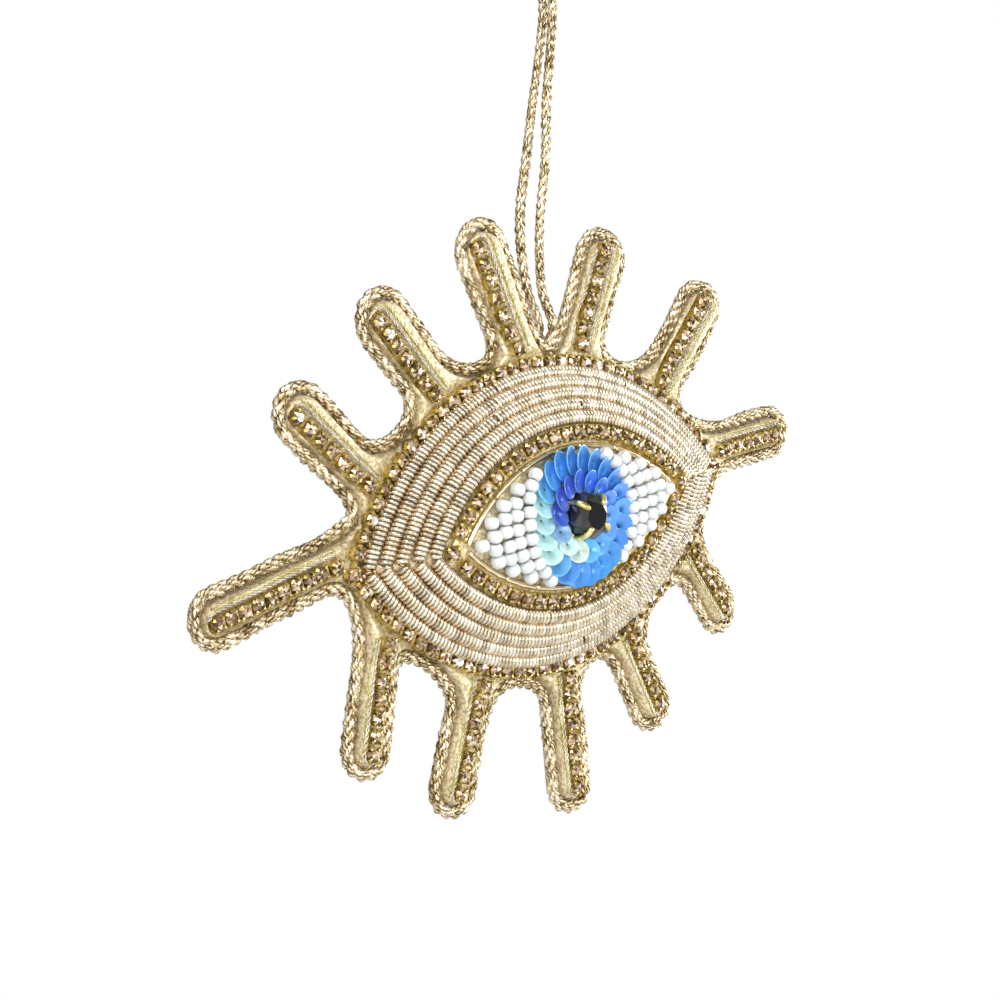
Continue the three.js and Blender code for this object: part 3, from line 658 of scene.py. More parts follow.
# Each strand: how far below its top, then across and away
BOW_LEFT = [
    (2, -0.3, 0.95), (13, -2.1, 0.8), (21, -3.4, 0.7),
    (29, -4.6, 0.6), (35, -4.5, 0.5), (41, -3.2, 0.5),
]
BOW_RIGHT = [
    (2, -0.2, -0.95), (13, -0.9, -0.8), (21, -0.8, -0.6),
    (29, -1.6, -0.4), (35, -1.6, -0.3), (41, -1.1, -0.4),
]
# Heights at which the rope is cut into pieces
LOOP_CUT = -15.2
NECK_CUT = -19.2
STRAND_CUT = -60.0
CORD_FOOT = -71.0


def catmull(points, per_span):
    """Centripetal curve through points, as in the part."""
    ends = [points[0] * 2 - points[1], *points, points[-1] * 2 - points[-2]]
    out = []
    for i in range(1, len(ends) - 2):
        p0, p1, p2, p3 = ends[i - 1 : i + 3]
        t01, t12, t23 = [max(1e-4, (b - a).length ** 0.5) for a, b in ((p0, p1), (p1, p2), (p2, p3))]
        m1 = (p2 - p1) + ((p1 - p0) / t01 - (p2 - p0) / (t01 + t12)) * t12
        m2 = (p2 - p1) + ((p3 - p2) / t23 - (p3 - p1) / (t12 + t23)) * t12
        for k in range(per_span):
            t = k / per_span
            square, cube = t * t, t**3
            spot = p1 * (2 * cube - 3 * square + 1) + m1 * (cube - 2 * square + t)
            out.append(spot + p2 * (3 * square - 2 * cube) + m2 * (cube - square))
    return out + [points[-1]]


def loop_half(side):
    lower, bend = FRONT_SWING_Z + FLEX_GAP / 2, CORD_RADIUS - LOOP_RADIUS
    straight = lower + 2 * CORD_RADIUS
    points = [Vector((side * HALF_PITCH, 0, lower))]
    for i in range(5):
        x = HALF_PITCH + (LOOP_RADIUS - HALF_PITCH) * ease(i / 4)
        points.append(Vector((side * x, 0, straight + (bend - straight) * i / 4)))
    for i in range(1, 4):
        across, above = polar(LOOP_RADIUS, pi * i / 8)
        points.append(Vector((side * across, 0, bend + above)))
    return points


def throat(side):
    points = []
    for i in range(13):
        angle = (0 if side > 0 else pi) - pi / 2 * ease(i / 12)
        points.append(Vector((*polar(HALF_PITCH, angle), THROAT_TOP + (THROAT_FOOT - THROAT_TOP) * i / 12)))
    return points


def strand(side):
    along = (BALANCE @ Vector((valley_along.x, 0, valley_along.y))).normalized()
    end = SEWN - along * side * SEWN_ACROSS / 2
    end.y -= side * SEWN_DEPTH / 2
    end.z += EDGE_CORD_RADIUS + SEWN_GAP
    points = [Vector((0, -side * HALF_PITCH, STRAND_TOP))]
    for below, x, y in BOW_LEFT if side < 0 else BOW_RIGHT:
        points.append(Vector((x, y, STRAND_TOP - below)))
    return catmull(points + [end + Vector((0, 0, 2 * CORD_RADIUS)), end], 12)


def whole_cord():
    half = {}
    for side in (-1, 1):
        neck = [Vector((0, -side * HALF_PITCH, z)) for z in NECK_ENDS]
        line = throat(side) + neck + strand(side)
        end = line[-1]
        buried = SEWN.lerp(end, 0.25)
        half[side] = line + [end.lerp(buried, 0.5), buried]
    top = catmull(loop_half(-1) + [Vector((0, 0, CORD_RADIUS))] + loop_half(1)[::-1], 10)
    return spaced(half[-1][::-1] + top + half[1], CORD_STEP)


cord_line, cord_step = whole_cord()
cord_normals = carried(cord_line, Vector((1, 0, 0)))


def cord_piece(name, low, high, side):
    """The stretch of the cord between two heights, on one side of the hook or on both."""
    middle = max(range(len(cord_line)), key=lambda i: cord_line[i].z)
    lap = 0.16
    wanted = [i for i, p in enumerate(cord_line) if low - lap <= p.z <= high + lap]
    if side:
        wanted = [i for i in wanted if (i < middle) == (side < 0)]
    first, last = wanted[0], wanted[-1]
    net = Net(Matrix.Identity(4))
    points = cord_line[first : last + 1]
    rope(net, points, cord_normals[first : last + 1], CORD_RADIUS, CORD_LAY, 3, first * cord_step)
    piece = net.make(name, [GOLD_CORD], None)
    return piece, [p * MM for p in points]


SIDES = (("left", -1), ("right", 1))


def hanging_cord():
    loop, path = cord_piece("cord_loop_rope", LOOP_CUT, LOOP_RADIUS, 0)
    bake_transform(loop)
    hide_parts("cord_loop", "cord_throat_left", "cord_throat_right")
    for label, side in SIDES:
        neck, _ = cord_piece(f"cord_neck_rope_{label}", NECK_CUT, LOOP_CUT, side)
        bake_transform(neck)
        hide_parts(f"cord_neck_{label}")
        twist, path = cord_piece(f"cord_strand_rope_{label}", STRAND_CUT, NECK_CUT, side)
        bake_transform(twist)
        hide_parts(f"cord_strand_{label}")
        end, _ = cord_piece(f"cord_end_rope_{label}", CORD_FOOT, STRAND_CUT, side)
        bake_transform(end)


hanging_cord()


# Cloth: the padded front with its dome and lashes, and the plain back

PUFF = 0.5
PUFF_CREST = 0.78
PUFF_SLOPE = 1.5
SEWN_DOWN = 0.9
CHAIN_SINK = 0.2
DOME_FOOT_RUN = -0.4
DOME_RUNS = [
    DOME_FOOT_RUN, -0.9, -2, -4, -6, PURL_END_RUN + 0.5, PURL_END_RUN - 0.1, -10, -12, -14, -16, -18, -19.4,
]
DOME_STEPS = 120
HEM_LEVEL = 1.3
FRONT_INSETS = (-0.75, 0.02, 0.08, 0.2, 0.35, 0.55, PUFF_CREST)
BACK_PROFILE = [(-0.3, 0.0), (0, 0.12), (0.35, 0.5), (0.75, 1.2)]
EDGE_CORD_LAY = 5.4
EDGE_CORD_TUCK = 0.06
EDGE_CORD_RAISE = 0.2


def sewn_level(lash, distance):
    """Level of a lash's cloth under its stones, sewn down from the root on."""
    return CLOTH_TOP - SEWN_DOWN * ease(min(1, max(0, (distance - lash.first + 1) / 4)))


def cloth_level(spot, inset):
    """Level of the cloth, puffed up between its edge, the chain round the eye and the lash's stones."""
    def cap(low, gap, reach, power):
        share = 1 - min(1, max(0, gap) / reach)
        return low + (CLOTH_TOP + PUFF - low) * (1 - share**power)

    level = cap(EDGE_CORD_LEVEL, inset, PUFF_CREST, 2.2)
    level = min(level, cap(CLOTH_TOP - CHAIN_SINK, run_at(*spot) - OUTER_CHAIN_RUN - 1, PUFF_SLOPE, 2))
    for lash in lashes:
        distance = min(lash.last, max(lash.first, (spot - lash.foot).dot(lash.along)))
        gap = (spot - lash.place(distance, lash.aside)).length - STONE_WIDTH / 2
        if gap < PUFF_SLOPE:
            level = min(level, cap(sewn_level(lash, distance), gap, PUFF_SLOPE, 2))
    return level


dense, _ = spaced([p.to_3d() for p in fine + fine[:1]], 0.1)
edge_tree = KDTree(len(dense))
for edge_index, edge_spot in enumerate(dense):
    edge_tree.insert(edge_spot, edge_index)
edge_tree.balance()


def from_edge(spot):
    return edge_tree.find(spot.to_3d())[2]


def inner_spots():
    """Places on the cloth, away from its edge and from the dome."""
    spots = []
    for lash in lashes:
        across = [lash.half * k / 9 for k in range(-8, 9)]
        spots += [lash.place(0.5 * k, aside) for k in range(int(2 * lash.reach)) for aside in across]
    spots += [almond_point(run, i / 240) for run in (0.4, 1.2, 2.0) for i in range(240)]
    return [p for p in spots if from_edge(p) > PUFF_CREST + 0.25 and run_at(*p) > 0.2]


def loop_edges(first, count):
    return [(first + i, first + (i + 1) % count) for i in range(count)]


def front_cloth():
    net = Net()
    rings = []
    for inset in FRONT_INSETS:
        spots = offset(fine, -inset)
        levels = [cloth_level(p, inset) if inset > 0 else HEM_LEVEL for p in spots]
        rings.append(net.ring([local(*p, level) for p, level in zip(spots, levels)]))
    net.skin(rings)
    domes = []
    for run in DOME_RUNS:
        base = CLOTH_TOP + dome_at(run)
        if run == DOME_FOOT_RUN:
            base = CLOTH_TOP - CHAIN_SINK
        elif run > PURL_END_RUN:
            base += PURL_BED
        row = [almond_point(run, i / DOME_STEPS) for i in range(DOME_STEPS)]
        domes.append(net.ring([local(*p, base) for p in row]))
    net.skin(domes)
    net.face(tuple(domes[-1]))
    edge = offset(fine, -PUFF_CREST)
    flat = edge + [almond_point(DOME_FOOT_RUN, i / DOME_STEPS) for i in range(DOME_STEPS)]
    borders = loop_edges(0, len(edge)) + loop_edges(len(edge), DOME_STEPS)
    known = rings[-1] + domes[0]
    places, _, faces, origins, _, _ = delaunay_2d_cdt(flat + inner_spots(), borders, [], 1, 1e-5)
    index = []
    for spot, origin in zip(places, origins):
        if origin and min(origin) < len(known):
            index.append(known[min(origin)])
        else:
            index.append(net.vert(local(*spot, cloth_level(spot, from_edge(spot)))))
    for face in faces:
        centre = sum((places[i] for i in face), Vector((0, 0))) / len(face)
        if run_at(*centre) > DOME_FOOT_RUN:
            net.face(tuple(index[i] for i in face))
    piece = net.make("front_cloth", [LAME], sharp_angle=60)
    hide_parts("front_panel", "padding")


def back_cloth():
    net = Net()
    outlines = [(offset(fine, spread), level) for spread, level in BACK_PROFILE]
    net.skin([net.ring([local(*p, level) for p in spots]) for spots, level in outlines])
    for (flat, level), order in ((outlines[0], -1), (outlines[-1], 1)):
        places, _, faces, _, _, _ = delaunay_2d_cdt(flat, loop_edges(0, len(flat)), [], 1, 1e-5)
        index = [net.vert(local(*p, level)) for p in places]
        for face in faces:
            net.face(tuple(index[i] for i in face)[::order])
    piece = net.make("back_suede", [SUEDE], sharp_angle=40)
    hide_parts("back_panel")


def edge_cord():
    spots = offset(fine, EDGE_CORD_OFFSET - EDGE_CORD_TUCK)
    path = [local(*p, EDGE_CORD_LEVEL + EDGE_CORD_RAISE) for p in spots]
    points, _ = spaced(path + path[:1], 0.42)
    net = Net()
    rope(net, points, carried(points, FRONT), EDGE_CORD_RADIUS, EDGE_CORD_LAY)
    piece = net.make("edge_rope", [GOLD_CORD])
    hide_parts("edge_cord")


front_cloth()
back_cloth()
edge_cord()


# Crystals in cups

# Crystal facet tints: the stones' champagne tone with painted reflections, from dark brown to a white flash
CRYSTAL_PAINTED_REFLECTIONS = [
    (0.09, 0.05, 0.02), (0.24, 0.14, 0.063), (0.49, 0.315, 0.165), (0.8, 0.6, 0.43), (0.98, 0.94, 0.88),
]
# The cup's rings: half width, half of each flat side, lift
CUP = [(0.95, 0.55, -0.3), (1.06, 0.64, 0.7), (1.04, 0.63, 0.9), (0.9, 0.55, 0.82)]
# A prong's rings: reach, half width, lift
PRONG = [(1.3, 0.24, 0.5), (1.27, 0.22, 1.08), (1.08, 0.18, 1.27), (0.9, 0.11, 1.28)]
PRONG_DEPTH = 0.2
PRONG_SLANT = 0.08
FACETS = 8
GIRDLE_RADIUS = 1.03
GIRDLE_LIFT = 0.88
TABLE_RADIUS = 0.6
TABLE_LIFTS = (1.24, 1.44)
MIDDLE_LIFTS = (1.28, 1.5)
# Share of stones whose middle facets are all painted white flashes
PAINTED_FLASH_SHARE = 0.07
STONE_LIFT = 0.12
STONE_TILT = 0.06
# The link between two cups: lift and place across of its corners
LINK = [(0.1, -0.3), (0.1, 0.3), (0.5, 0.3), (0.5, -0.3)]
LONGEST_LINK = 1.6 * STONE_PITCH


def stone(net, place, along, across, up):
    """One chaton in its square cup with four prongs; slot 0 is metal and slot 1 crystal, whose facets carry
    painted reflections and glints.
    """
    def at(a, b, lift):
        return place + along * a + across * b + up * lift

    def square_ring(half, cut, lift):
        spots = [(half, -cut), (half, cut), (cut, half), (-cut, half)]
        spots += [(-a, -b) for a, b in spots]
        return net.ring([at(a, b, lift) for a, b in spots])

    net.skin([square_ring(*wall) for wall in CUP])
    for turn in circle(4, 0.5):
        out = Vector(polar(1, turn))
        side = Vector((-out.y, out.x))
        rings = []
        for radius, half, lift in PRONG:
            outer = [(radius, aside, lift + PRONG_SLANT) for aside in (-half, half)]
            inner = [(radius - PRONG_DEPTH, aside, lift) for aside in (half, -half)]
            rings.append(net.ring([at(*(out * r + side * aside), high) for r, aside, high in outer + inner]))
        net.skin(rings)
        net.face(tuple(rings[-1]))
    shift = dice.random()
    girdle = net.ring([at(*polar(GIRDLE_RADIUS, t), GIRDLE_LIFT) for t in circle(FACETS, shift)])
    turns = circle(FACETS, shift + 0.5)
    table = net.ring([at(*polar(TABLE_RADIUS, t), dice.uniform(*TABLE_LIFTS)) for t in turns])
    middle = net.vert(at(jitter(0.15), jitter(0.15), dice.uniform(*MIDDLE_LIFTS)))
    # Painted reflections and glints: each facet gets a tone, and a few stones get a painted white flash on
    # top
    top_reflections = CRYSTAL_PAINTED_REFLECTIONS[4:] if dice.random() < PAINTED_FLASH_SHARE else CRYSTAL_PAINTED_REFLECTIONS[:4] * 3 + CRYSTAL_PAINTED_REFLECTIONS[4:]
    for k in range(FACETS):
        j = (k + 1) % FACETS
        net.face((girdle[k], girdle[j], table[k]), 1, None, dice.choice(CRYSTAL_PAINTED_REFLECTIONS[:4]))
        net.face((girdle[j], table[j], table[k]), 1, None, dice.choice(CRYSTAL_PAINTED_REFLECTIONS[:4]))
        net.face((table[k], table[j], middle), 1, None, dice.choice(top_reflections))


def chain(node, frames):
    net = Net()
    for place, along, across, up in frames:
        lean = Matrix.Rotation(jitter(STONE_TILT), 3, along)
        lean = lean @ Matrix.Rotation(jitter(STONE_TILT), 3, across)
        stone(net, place + up * STONE_LIFT, lean @ along, lean @ across, lean @ up)
    for (p, _, across, up), (q, _, _, _) in zip(frames, frames[1:]):
        if (q - p).length > LONGEST_LINK:
            continue
        bar = [p + up * lift + across * aside for lift, aside in LINK]
        net.strip(net.ring(bar), net.ring([b + q - p for b in bar]))
    piece = net.make(f"{node}_set", [GILT, CRYSTAL], smooth=False)
    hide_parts(node)


def lash_frames(lash):
    count = int((lash.last - lash.first) / LASH_PITCH) + 1
    pitch = (lash.last - lash.first) / (count - 1)
    along = Vector((lash.along.x, 0, lash.along.y))
    frames = []
    for i in range(count):
        distance = lash.first + i * pitch
        spot = lash.place(distance, lash.aside)
        frames.append((local(*spot, sewn_level(lash, distance)), along, FRONT.cross(along), FRONT))
    return frames


for ring_name, ring_run in (("outer_stone_chain", OUTER_CHAIN_RUN), ("inner_stone_chain", INNER_CHAIN_RUN)):
    ring_turns = lid_turns(ring_run, STONE_PITCH, CORNER_PITCH)
    chain(ring_name, [row_frame(ring_run, t) for t in ring_turns])


# Sewing threads in pairs round each lash's stones

THREAD_GAPS = (0.6, 1.12)
THREAD_RADIUS = 0.26
THREAD_LAY = 1.7
THREAD_HEAD = 0.6
THREAD_INSET = 0.28
THREAD_LIFT = 0.14


def on_sheet(spot):
    """Whether a spot is within the outline: a line from it crosses an odd number of edges."""
    crossed = False
    for a, b in zip(fine, fine[1:] + fine[:1]):
        if (a.y > spot.y) != (b.y > spot.y) and spot.x < a.x + (b.x - a.x) * (spot.y - a.y) / (b.y - a.y):
            crossed = not crossed
    return crossed


def lash_threads(lash):
    net = Net()
    for tone, gap in enumerate(THREAD_GAPS):
        side = STONE_WIDTH / 2 + gap
        head = lash.first - THREAD_HEAD
        reaches = [head + (lash.last - head) * k / 30 for k in range(31)]
        turns = [pi * (k / 16 - 0.5) for k in range(1, 16)]
        line = [lash.place(reach, lash.aside - side) for reach in reaches]
        line += [lash.place(lash.last + side * cos(t), lash.aside + side * sin(t)) for t in turns]
        line += [lash.place(reach, lash.aside + side) for reach in reversed(reaches)]
        stretches = [[]]
        for spot in line:
            inset = from_edge(spot)
            if inset > THREAD_INSET and on_sheet(spot):
                stretches[-1].append(local(*spot, cloth_level(spot, inset) + THREAD_LIFT))
            else:
                stretches.append([])
        for stretch in stretches:
            if len(stretch) > 5:
                points, _ = spaced(stretch, 0.3)
                normals = carried(points, FRONT)
                rope(net, points, normals, THREAD_RADIUS, THREAD_LAY, 2, dice.random(), 5, tone)
    piece = net.make(f"lash_threads_{lash.name}", [PALE_THREAD, SEW_THREAD])


for each in lashes:
    chain(f"lash_stones_{each.name}", lash_frames(each))
    lash_threads(each)


# Purl: coiled wire laid in rows from corner to corner of each lid, in butted lengths

COIL_RADIUS = 0.96
COIL_PITCH = 0.66
COIL_STEPS = 12
WIRE_RADIUS = 0.3
WIRE_SIDES = 6
# Painted glints: brightness of each coil turn, picked at random
WIRE_GLINT_TONES = (0.62, 0.78, 0.86, 0.92, 0.98, 1.0)
LID_STEPS = 160
PURL_CUTS = (36, 70)
SHORTEST_CUT = 12
PURL_SINK = 0.05


def slope_runs():
    """Runs of the rows' middles, evenly spaced along the dome's slope."""
    steps = 300
    lengths = [0.0]
    for i in range(steps):
        a, b = PURL_END_RUN * i / steps, PURL_END_RUN * (i + 1) / steps
        lengths.append(lengths[-1] + hypot(b - a, dome_at(b) - dome_at(a)))
    runs = []
    for row in range(PURL_ROWS):
        wanted = lengths[-1] * (row + 0.5) / PURL_ROWS
        index = max(i for i in range(steps) if lengths[i] <= wanted)
        runs.append(PURL_END_RUN * (index + 0.5) / steps)
    return runs


def coil(net, centres, up, radius):
    """One length of purl along centres: each turn gets a random painted glint brightness, and is browned low
    down as painted shade between the rows.
    """
    points, _ = spaced(centres, COIL_PITCH / COIL_STEPS)
    turns, outs, tints = [], [], []
    angle = dice.uniform(0, 6)
    for i, (point, tangent, normal) in enumerate(zip(points, tangents(points), carried(points, up))):
        side = tangent.cross(normal)
        out = normal * cos(angle) + side * sin(angle)
        turns.append(point + (out + side * sin(angle) * 0.24) * (radius - WIRE_RADIUS))
        outs.append(out)
        # Painted glints: a new random brightness for each turn
        if i % COIL_STEPS == 0:
            tone = dice.choice(WIRE_GLINT_TONES)
        # Painted shade: green and blue lowered where the turn dips low between the rows, browning it
        low = min(1, max(0, 0.75 - cos(angle)))
        tints.append((tone, tone * (0.985 - 0.2 * low), tone * (0.96 - 0.42 * low)))
        angle += 2 * pi / COIL_STEPS
    first = len(net.faces)
    tube(net, turns, outs, WIRE_RADIUS, WIRE_SIDES)
    net.tints[first:] = [tint for tint in tints[1:] for _ in range(WIRE_SIDES)] + tints[:1] * 2


def purl_row(index, run):
    net = Net()
    for lid in (0.0, 0.5):
        turns = [lid + 0.5 * k / LID_STEPS for k in range(LID_STEPS + 1)]
        turns[0] += 0.0005
        turns[-1] -= 0.0005
        frames = [row_frame(run, t) for t in turns]
        line = [p + up * (COIL_RADIUS - PURL_SINK) for p, _, _, up in frames]
        ups = [up for _, _, _, up in frames]
        cuts = [0]
        while cuts[-1] < LID_STEPS:
            cuts.append(min(LID_STEPS, cuts[-1] + dice.randint(*PURL_CUTS)))
        if cuts[-1] - cuts[-2] < SHORTEST_CUT:
            cuts.pop(-2)
        for a, b in zip(cuts, cuts[1:]):
            lift = jitter(0.06)
            stretch = [p + u * lift for p, u in zip(line[a : b + 1], ups[a : b + 1])]
            coil(net, stretch, ups[a], COIL_RADIUS * dice.uniform(0.96, 1.01))
    piece = net.make(f"purl_coil_{index + 1}", [PURL])
    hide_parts(f"purl_row_{index + 1}")


for row_index, row_run in enumerate(slope_runs()):
    purl_row(row_index, row_run)


# Tube beads round the opening

TUBE_HOLE_EDGE = 0.3
TUBE_END = 0.08
TUBE_CUTS = (9, 16)
SHORTEST_TUBE = 5


def tube_beads():
    net = Net()
    turns = lid_turns(OPEN_RUN, 0.5, 0.5)
    half = len(turns) // 2
    for lid in (0, 1):
        frames = [row_frame(OPEN_RUN, t) for t in turns[lid * half + 1 : (lid + 1) * half]]
        line = [p + up * TUBE_BEAD_RADIUS for p, _, _, up in frames]
        first = 0
        while first <= len(line) - SHORTEST_TUBE:
            last = min(len(line) - 1, first + dice.randint(*TUBE_CUTS))
            if len(line) - 1 - last < SHORTEST_TUBE:
                last = len(line) - 1
            points = line[first : last + 1]
            inward = (points[1] - points[0]).normalized() * TUBE_END
            head = [points[0] + inward, points[0] + inward * 2]
            tail = [points[-1] - inward * 2, points[-1] - inward]
            points = head + points[1:-1] + tail
            sizes = [TUBE_HOLE_EDGE] + [TUBE_BEAD_RADIUS] * (len(points) - 2) + [TUBE_HOLE_EDGE]
            tube(net, points, carried(points, FRONT), sizes, 10)
            first = last
    piece = net.make("tube_beads", [TUBE_GOLD], sharp_angle=50)
    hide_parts("tube_bead_line")


tube_beads()


# White seed beads in curved rows that hug the iris, packed closer than in the part

SEED_PITCH = 1.72
SEED_HALF_HEIGHT = 0.86
SEED_HOLE = 0.2
SEED_GAP = 0.4
SEED_TUCK = 0.65


def seed_rows(side):
    keep_in = OPEN_RUN - TUBE_BEAD_RADIUS - SEED_TUCK * SEED_RADIUS
    rows = []
    ring = IRIS_RADIUS + SEED_GAP + SEED_RADIUS
    while ring < OPEN_HALF_WIDTH:
        reach = 0.0
        while reach < 1.5 and run_at(*polar(ring, reach)) < keep_in:
            reach += 0.002
        count = int(2 * reach * ring / SEED_PITCH) + 1
        for i in range(count):
            angle = reach * (2 * i / (count - 1) - 1) if count > 1 else 0.0
            rows.append((side * ring * cos(angle), ring * sin(angle), side * angle))
        ring += SEED_ROW_PITCH
    return rows


def seed_beads(label, side):
    net = Net()
    for x, z, angle in seed_rows(side):
        x += jitter(0.13)
        z += jitter(0.1)
        centre = on_cloth(x, z, SEED_RADIUS + dice.uniform(0.1, 0.3))
        tip = Matrix.Rotation(-angle, 3, "Y") @ Matrix.Rotation(jitter(0.2), 3, "X")
        across, deep, axis = tip.transposed()
        wide = SEED_RADIUS * dice.uniform(1.0, 1.1)
        rings = []
        for turn in circle(12):
            radius = max(SEED_HOLE, 0.45 + 0.58 * cos(turn)) * wide
            level = centre + axis * (SEED_HALF_HEIGHT * sin(turn))
            spots = [level + (across * cos(t) + deep * sin(t)) * radius for t in circle(16)]
            rings.append(net.ring(spots))
        net.skin(rings[-1:] + rings)
    piece = net.make(f"seed_beads_{label}", [WHITE])
    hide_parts(f"white_beads_{label}")


for field, field_side in SIDES:
    seed_beads(field, field_side)


# Sequins overlapped like a fan, each raised on its anticlockwise side

# Rings of a sequin, from the hole over the front and back under: share of its radius, and level
SEQUIN_PROFILE = [
    (0.1, -0.256), (0.13, -0.1), (0.55, 0.03), (0.9, 0.264), (1.0, 0.29),
    (1.0, 0.186), (0.9, 0.16), (0.55, -0.074), (0.13, -0.204),
]
# Tones round each ring by angle: blue on top, pale mint at the left, azure below, violet inside. The sequins
# are blue; the shift of hue round the ring is painted reflection of their iridescent finish, the pale mint
# at the left a painted highlight, and the darker violet at the inner left painted shade.
HUES_AND_PAINTED_LIGHT = {
    "outer": [
        (0, (0.12, 0.42, 0.98)), (90, (0.12, 0.42, 0.98)), (138, (0.13, 0.48, 0.98)),
        (150, (0.62, 0.98, 0.92)), (205, (0.68, 0.98, 0.92)), (220, (0.11, 0.46, 0.92)),
        (245, (0.05, 0.27, 0.75)), (285, (0.05, 0.31, 0.8)), (330, (0.08, 0.34, 0.9)),
        (360, (0.12, 0.42, 0.98)),
    ],
    "inner": [
        (0, (0.11, 0.36, 0.97)), (90, (0.12, 0.27, 0.95)), (180, (0.08, 0.14, 0.68)),
        (210, (0.62, 0.98, 0.92)), (246, (0.68, 0.98, 0.9)), (256, (0.14, 0.52, 0.97)),
        (330, (0.1, 0.4, 0.97)), (360, (0.11, 0.36, 0.97)),
    ],
}


def sequin(net, centre, radial, tangent, up, size, tint):
    rings = []
    spokes = [radial * cos(t) + tangent * sin(t) for t in circle(24)]
    for share, level in SEQUIN_PROFILE:
        rings.append(net.ring([centre + spoke * share * size + up * level for spoke in spokes]))
    net.skin(rings + rings[:1], tint)


def hue(angle, stops):
    for (a, low), (b, high) in zip(stops, stops[1:]):
        if a <= angle <= b:
            share = (angle - a) / (b - a)
            tone = [p + (q - p) * share for p, q in zip(low, high)]
    return tuple(min(1, c * dice.uniform(0.9, 1.1)) for c in tone)


def sequin_ring(label, count, middle, lift, size, fan, flare):
    net = Net()
    for angle in circle(count, 0.5):
        radial = Vector((cos(angle), 0, sin(angle)))
        tangent = Vector((-sin(angle), 0, cos(angle)))
        turn = Matrix.Rotation(radians(fan + jitter(3)), 3, radial)
        turn = Matrix.Rotation(radians(flare), 3, tangent) @ turn
        # Painted light: the sequin's tone follows its place round the ring
        tint = hue(degrees(angle), HUES_AND_PAINTED_LIGHT[label])
        centre = on_cloth(*polar(middle, angle), lift)
        sequin(net, centre, turn @ radial, turn @ tangent, turn @ FRONT, size, tint)
    piece = net.make(f"sequins_{label}", [SEQUIN])
    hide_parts(f"sequin_ring_{label}")


sequin_ring("outer", count=22, middle=7.75, lift=1.1, size=2.22, fan=23, flare=0)
sequin_ring("inner", count=14, middle=4.95, lift=1.6, size=1.7, fan=20, flare=-6)


# Pupil: faceted black stone in a cup with four claws, each a row of radius and level

PUPIL_BASE = CLOTH_TOP + DOME_RISE + LAYER_GAP
GEM_WALLS = [(2.4, 0.35), (3.05, 0.55), (PUPIL_RADIUS, 0.95), (PUPIL_RADIUS, 2.7)]
GEM_CROWN = (2.8, 3.3)
GEM_TABLE = (1.9, 3.85)
GEM_TINTS = [(0.004, 0.004, 0.005), (0.012, 0.011, 0.011), (0.03, 0.026, 0.022)]
CUP_WALLS = [(2.9, 0), (3.2, 0.1), (3.3, 0.5), (3.2, 0.58), (3.05, 0.5), (2.8, 0.3)]
CLAW_LINE = [(3.1, 0.3), (3.4, 1.0), (3.44, 2.5), (3.25, 3.1), (2.6, 3.62), (1.8, 3.95)]
CLAW_SIZES = [0.36] * 12 + [0.45] * 10 + [0.44, 0.4, 0.32, 0.14]


def pupil_ring(net, radius, level, sides, shift=0.0):
    return net.ring([local(*polar(radius, t), PUPIL_BASE + level) for t in circle(sides, shift)])


def pupil_gem():
    net = Net()
    walls = [pupil_ring(net, *wall, FACETS) for wall in GEM_WALLS]
    net.skin(walls, GEM_TINTS[1])
    girdle = walls[-1]
    crown = pupil_ring(net, *GEM_CROWN, FACETS, 0.5)
    table = pupil_ring(net, *GEM_TABLE, FACETS)
    lower, upper = [], []
    for k in range(FACETS):
        j = (k + 1) % FACETS
        lower += [(girdle[k], girdle[j], crown[k]), (girdle[j], crown[j], crown[k])]
        upper += [(crown[k], crown[j], table[j]), (crown[k], table[j], table[k])]
    for face in lower + upper:
        net.face(face, 0, None, dice.choice(GEM_TINTS))
    net.face(tuple(table), 0, None, GEM_TINTS[0])
    piece = net.make("pupil_gem", [BLACK], smooth=False)
    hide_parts("pupil_stone")


def pupil_claws():
    net = Net()
    walls = [pupil_ring(net, *wall, 32) for wall in CUP_WALLS]
    net.skin(walls)
    net.face(tuple(walls[-1]))
    for turn in circle(4, 0.5):
        out = Vector((cos(turn), 0, sin(turn)))
        line = catmull([out * radius + FRONT * (PUPIL_BASE + level) for radius, level in CLAW_LINE], 5)
        tube(net, line, carried(line, out), CLAW_SIZES, 10)
    piece = net.make("pupil_claws", [GILT], sharp_angle=50)
    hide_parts("pupil_setting")


pupil_gem()
pupil_claws()


# Floor, light and air, in metres

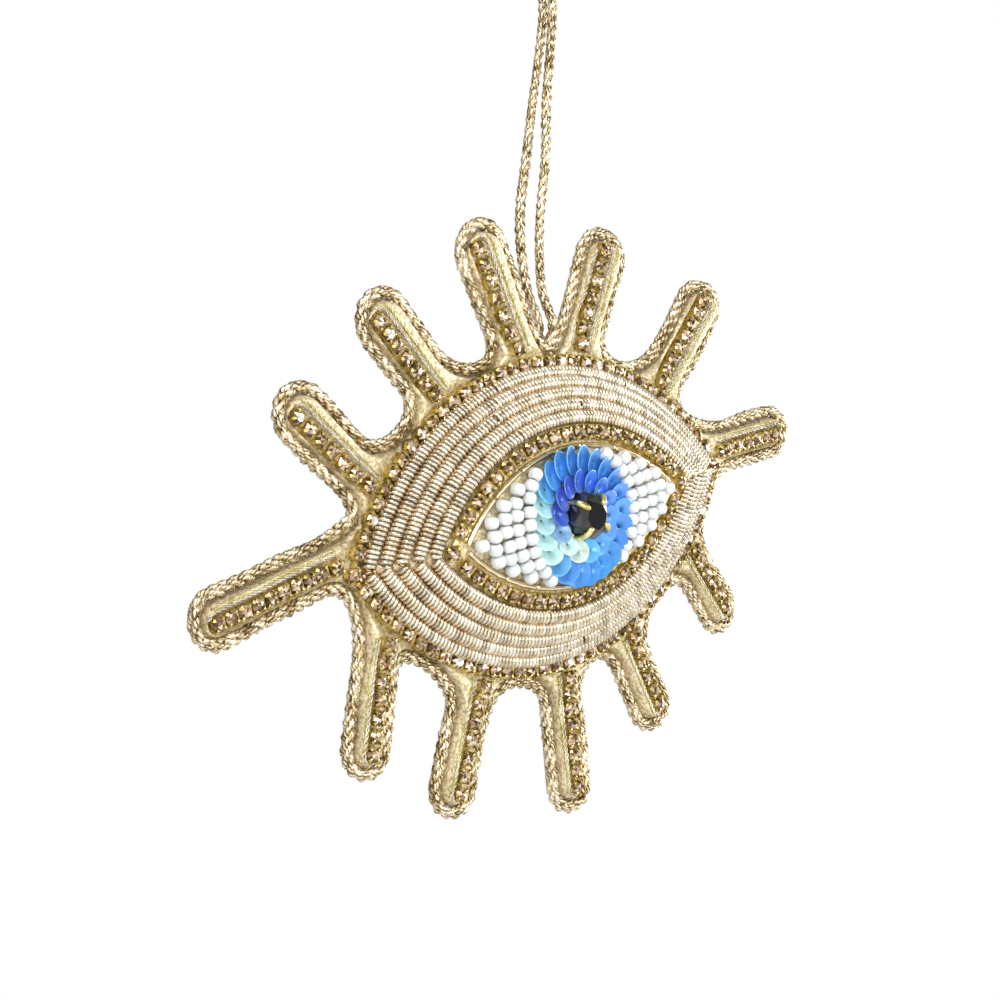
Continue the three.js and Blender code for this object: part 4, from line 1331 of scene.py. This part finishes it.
FLOOR_SIZE = 0.8
FLOOR_LEVEL = -0.3
LAMP_AIM = Vector((0, 0, -0.095))
WALL_HEADING = Vector((0.69, 0.72, 0.0)).normalized()
# A pale screen behind the camera, a dim room at the sides and a white wall behind the ornament
AIR_GREYS = [(0.0, 1), (0.1, 0.92), (0.19, 0.42), (0.3, 0.2), (0.45, 0.24), (0.75, 0.6), (0.92, 1)]
# Each lamp: place, size and power in watts
LAMPS = {
    "key": ((-0.42, -0.28, 0.3), 0.22, 1.8),
    "top": ((0.05, -0.12, 0.42), 0.3, 0.25),
    "fill": ((0.15, -0.61, -0.04), 0.36, 1.5),
    "low": ((-0.36, -0.42, -0.27), 0.2, 0.8),
    "side": ((0.52, -0.12, 0.02), 0.3, 1.7),
}


def floor_sheet():
    bpy.ops.mesh.primitive_plane_add(size=FLOOR_SIZE, location=(0, 0, FLOOR_LEVEL))
    floor = bpy.context.object
    floor.name = "floor"
    tones = [(0.3, (0.86, 0.86, 0.86)), (0.7, (0.9, 0.9, 0.9))]
    floor.data.materials.append(surface("pale_floor", tones, [(1, 3)], Roughness=0.9))


def air():
    world = bpy.data.worlds.new("air")
    bpy.context.scene.world = world
    world.use_nodes = True
    tree = world.node_tree
    facing = add(tree, "VectorMath", {"operation": "DOT_PRODUCT"})
    plug(tree, facing.inputs[0], add(tree, "TexCoord").outputs["Generated"])
    plug(tree, facing.inputs[1], WALL_HEADING)
    share = add(tree, "MapRange", Value=facing.outputs["Value"], From_Min=-1.0)
    stops = [(place, (grey, grey, grey)) for place, grey in AIR_GREYS]
    feed(tree, tree.nodes["Background"], Color=ramp(tree, share.outputs["Result"], stops))


def lamps():
    for name, (place, size, power) in LAMPS.items():
        data = bpy.data.lights.new(name, "AREA")
        data.size = size
        data.energy = power
        lamp = placed(name, data)
        lamp.location = place
        lamp.rotation_euler = (LAMP_AIM - Vector(place)).to_track_quat("-Z", "Y").to_euler()


floor_sheet()
air()
lamps()
bpy.context.scene.view_settings.view_transform = "Standard"
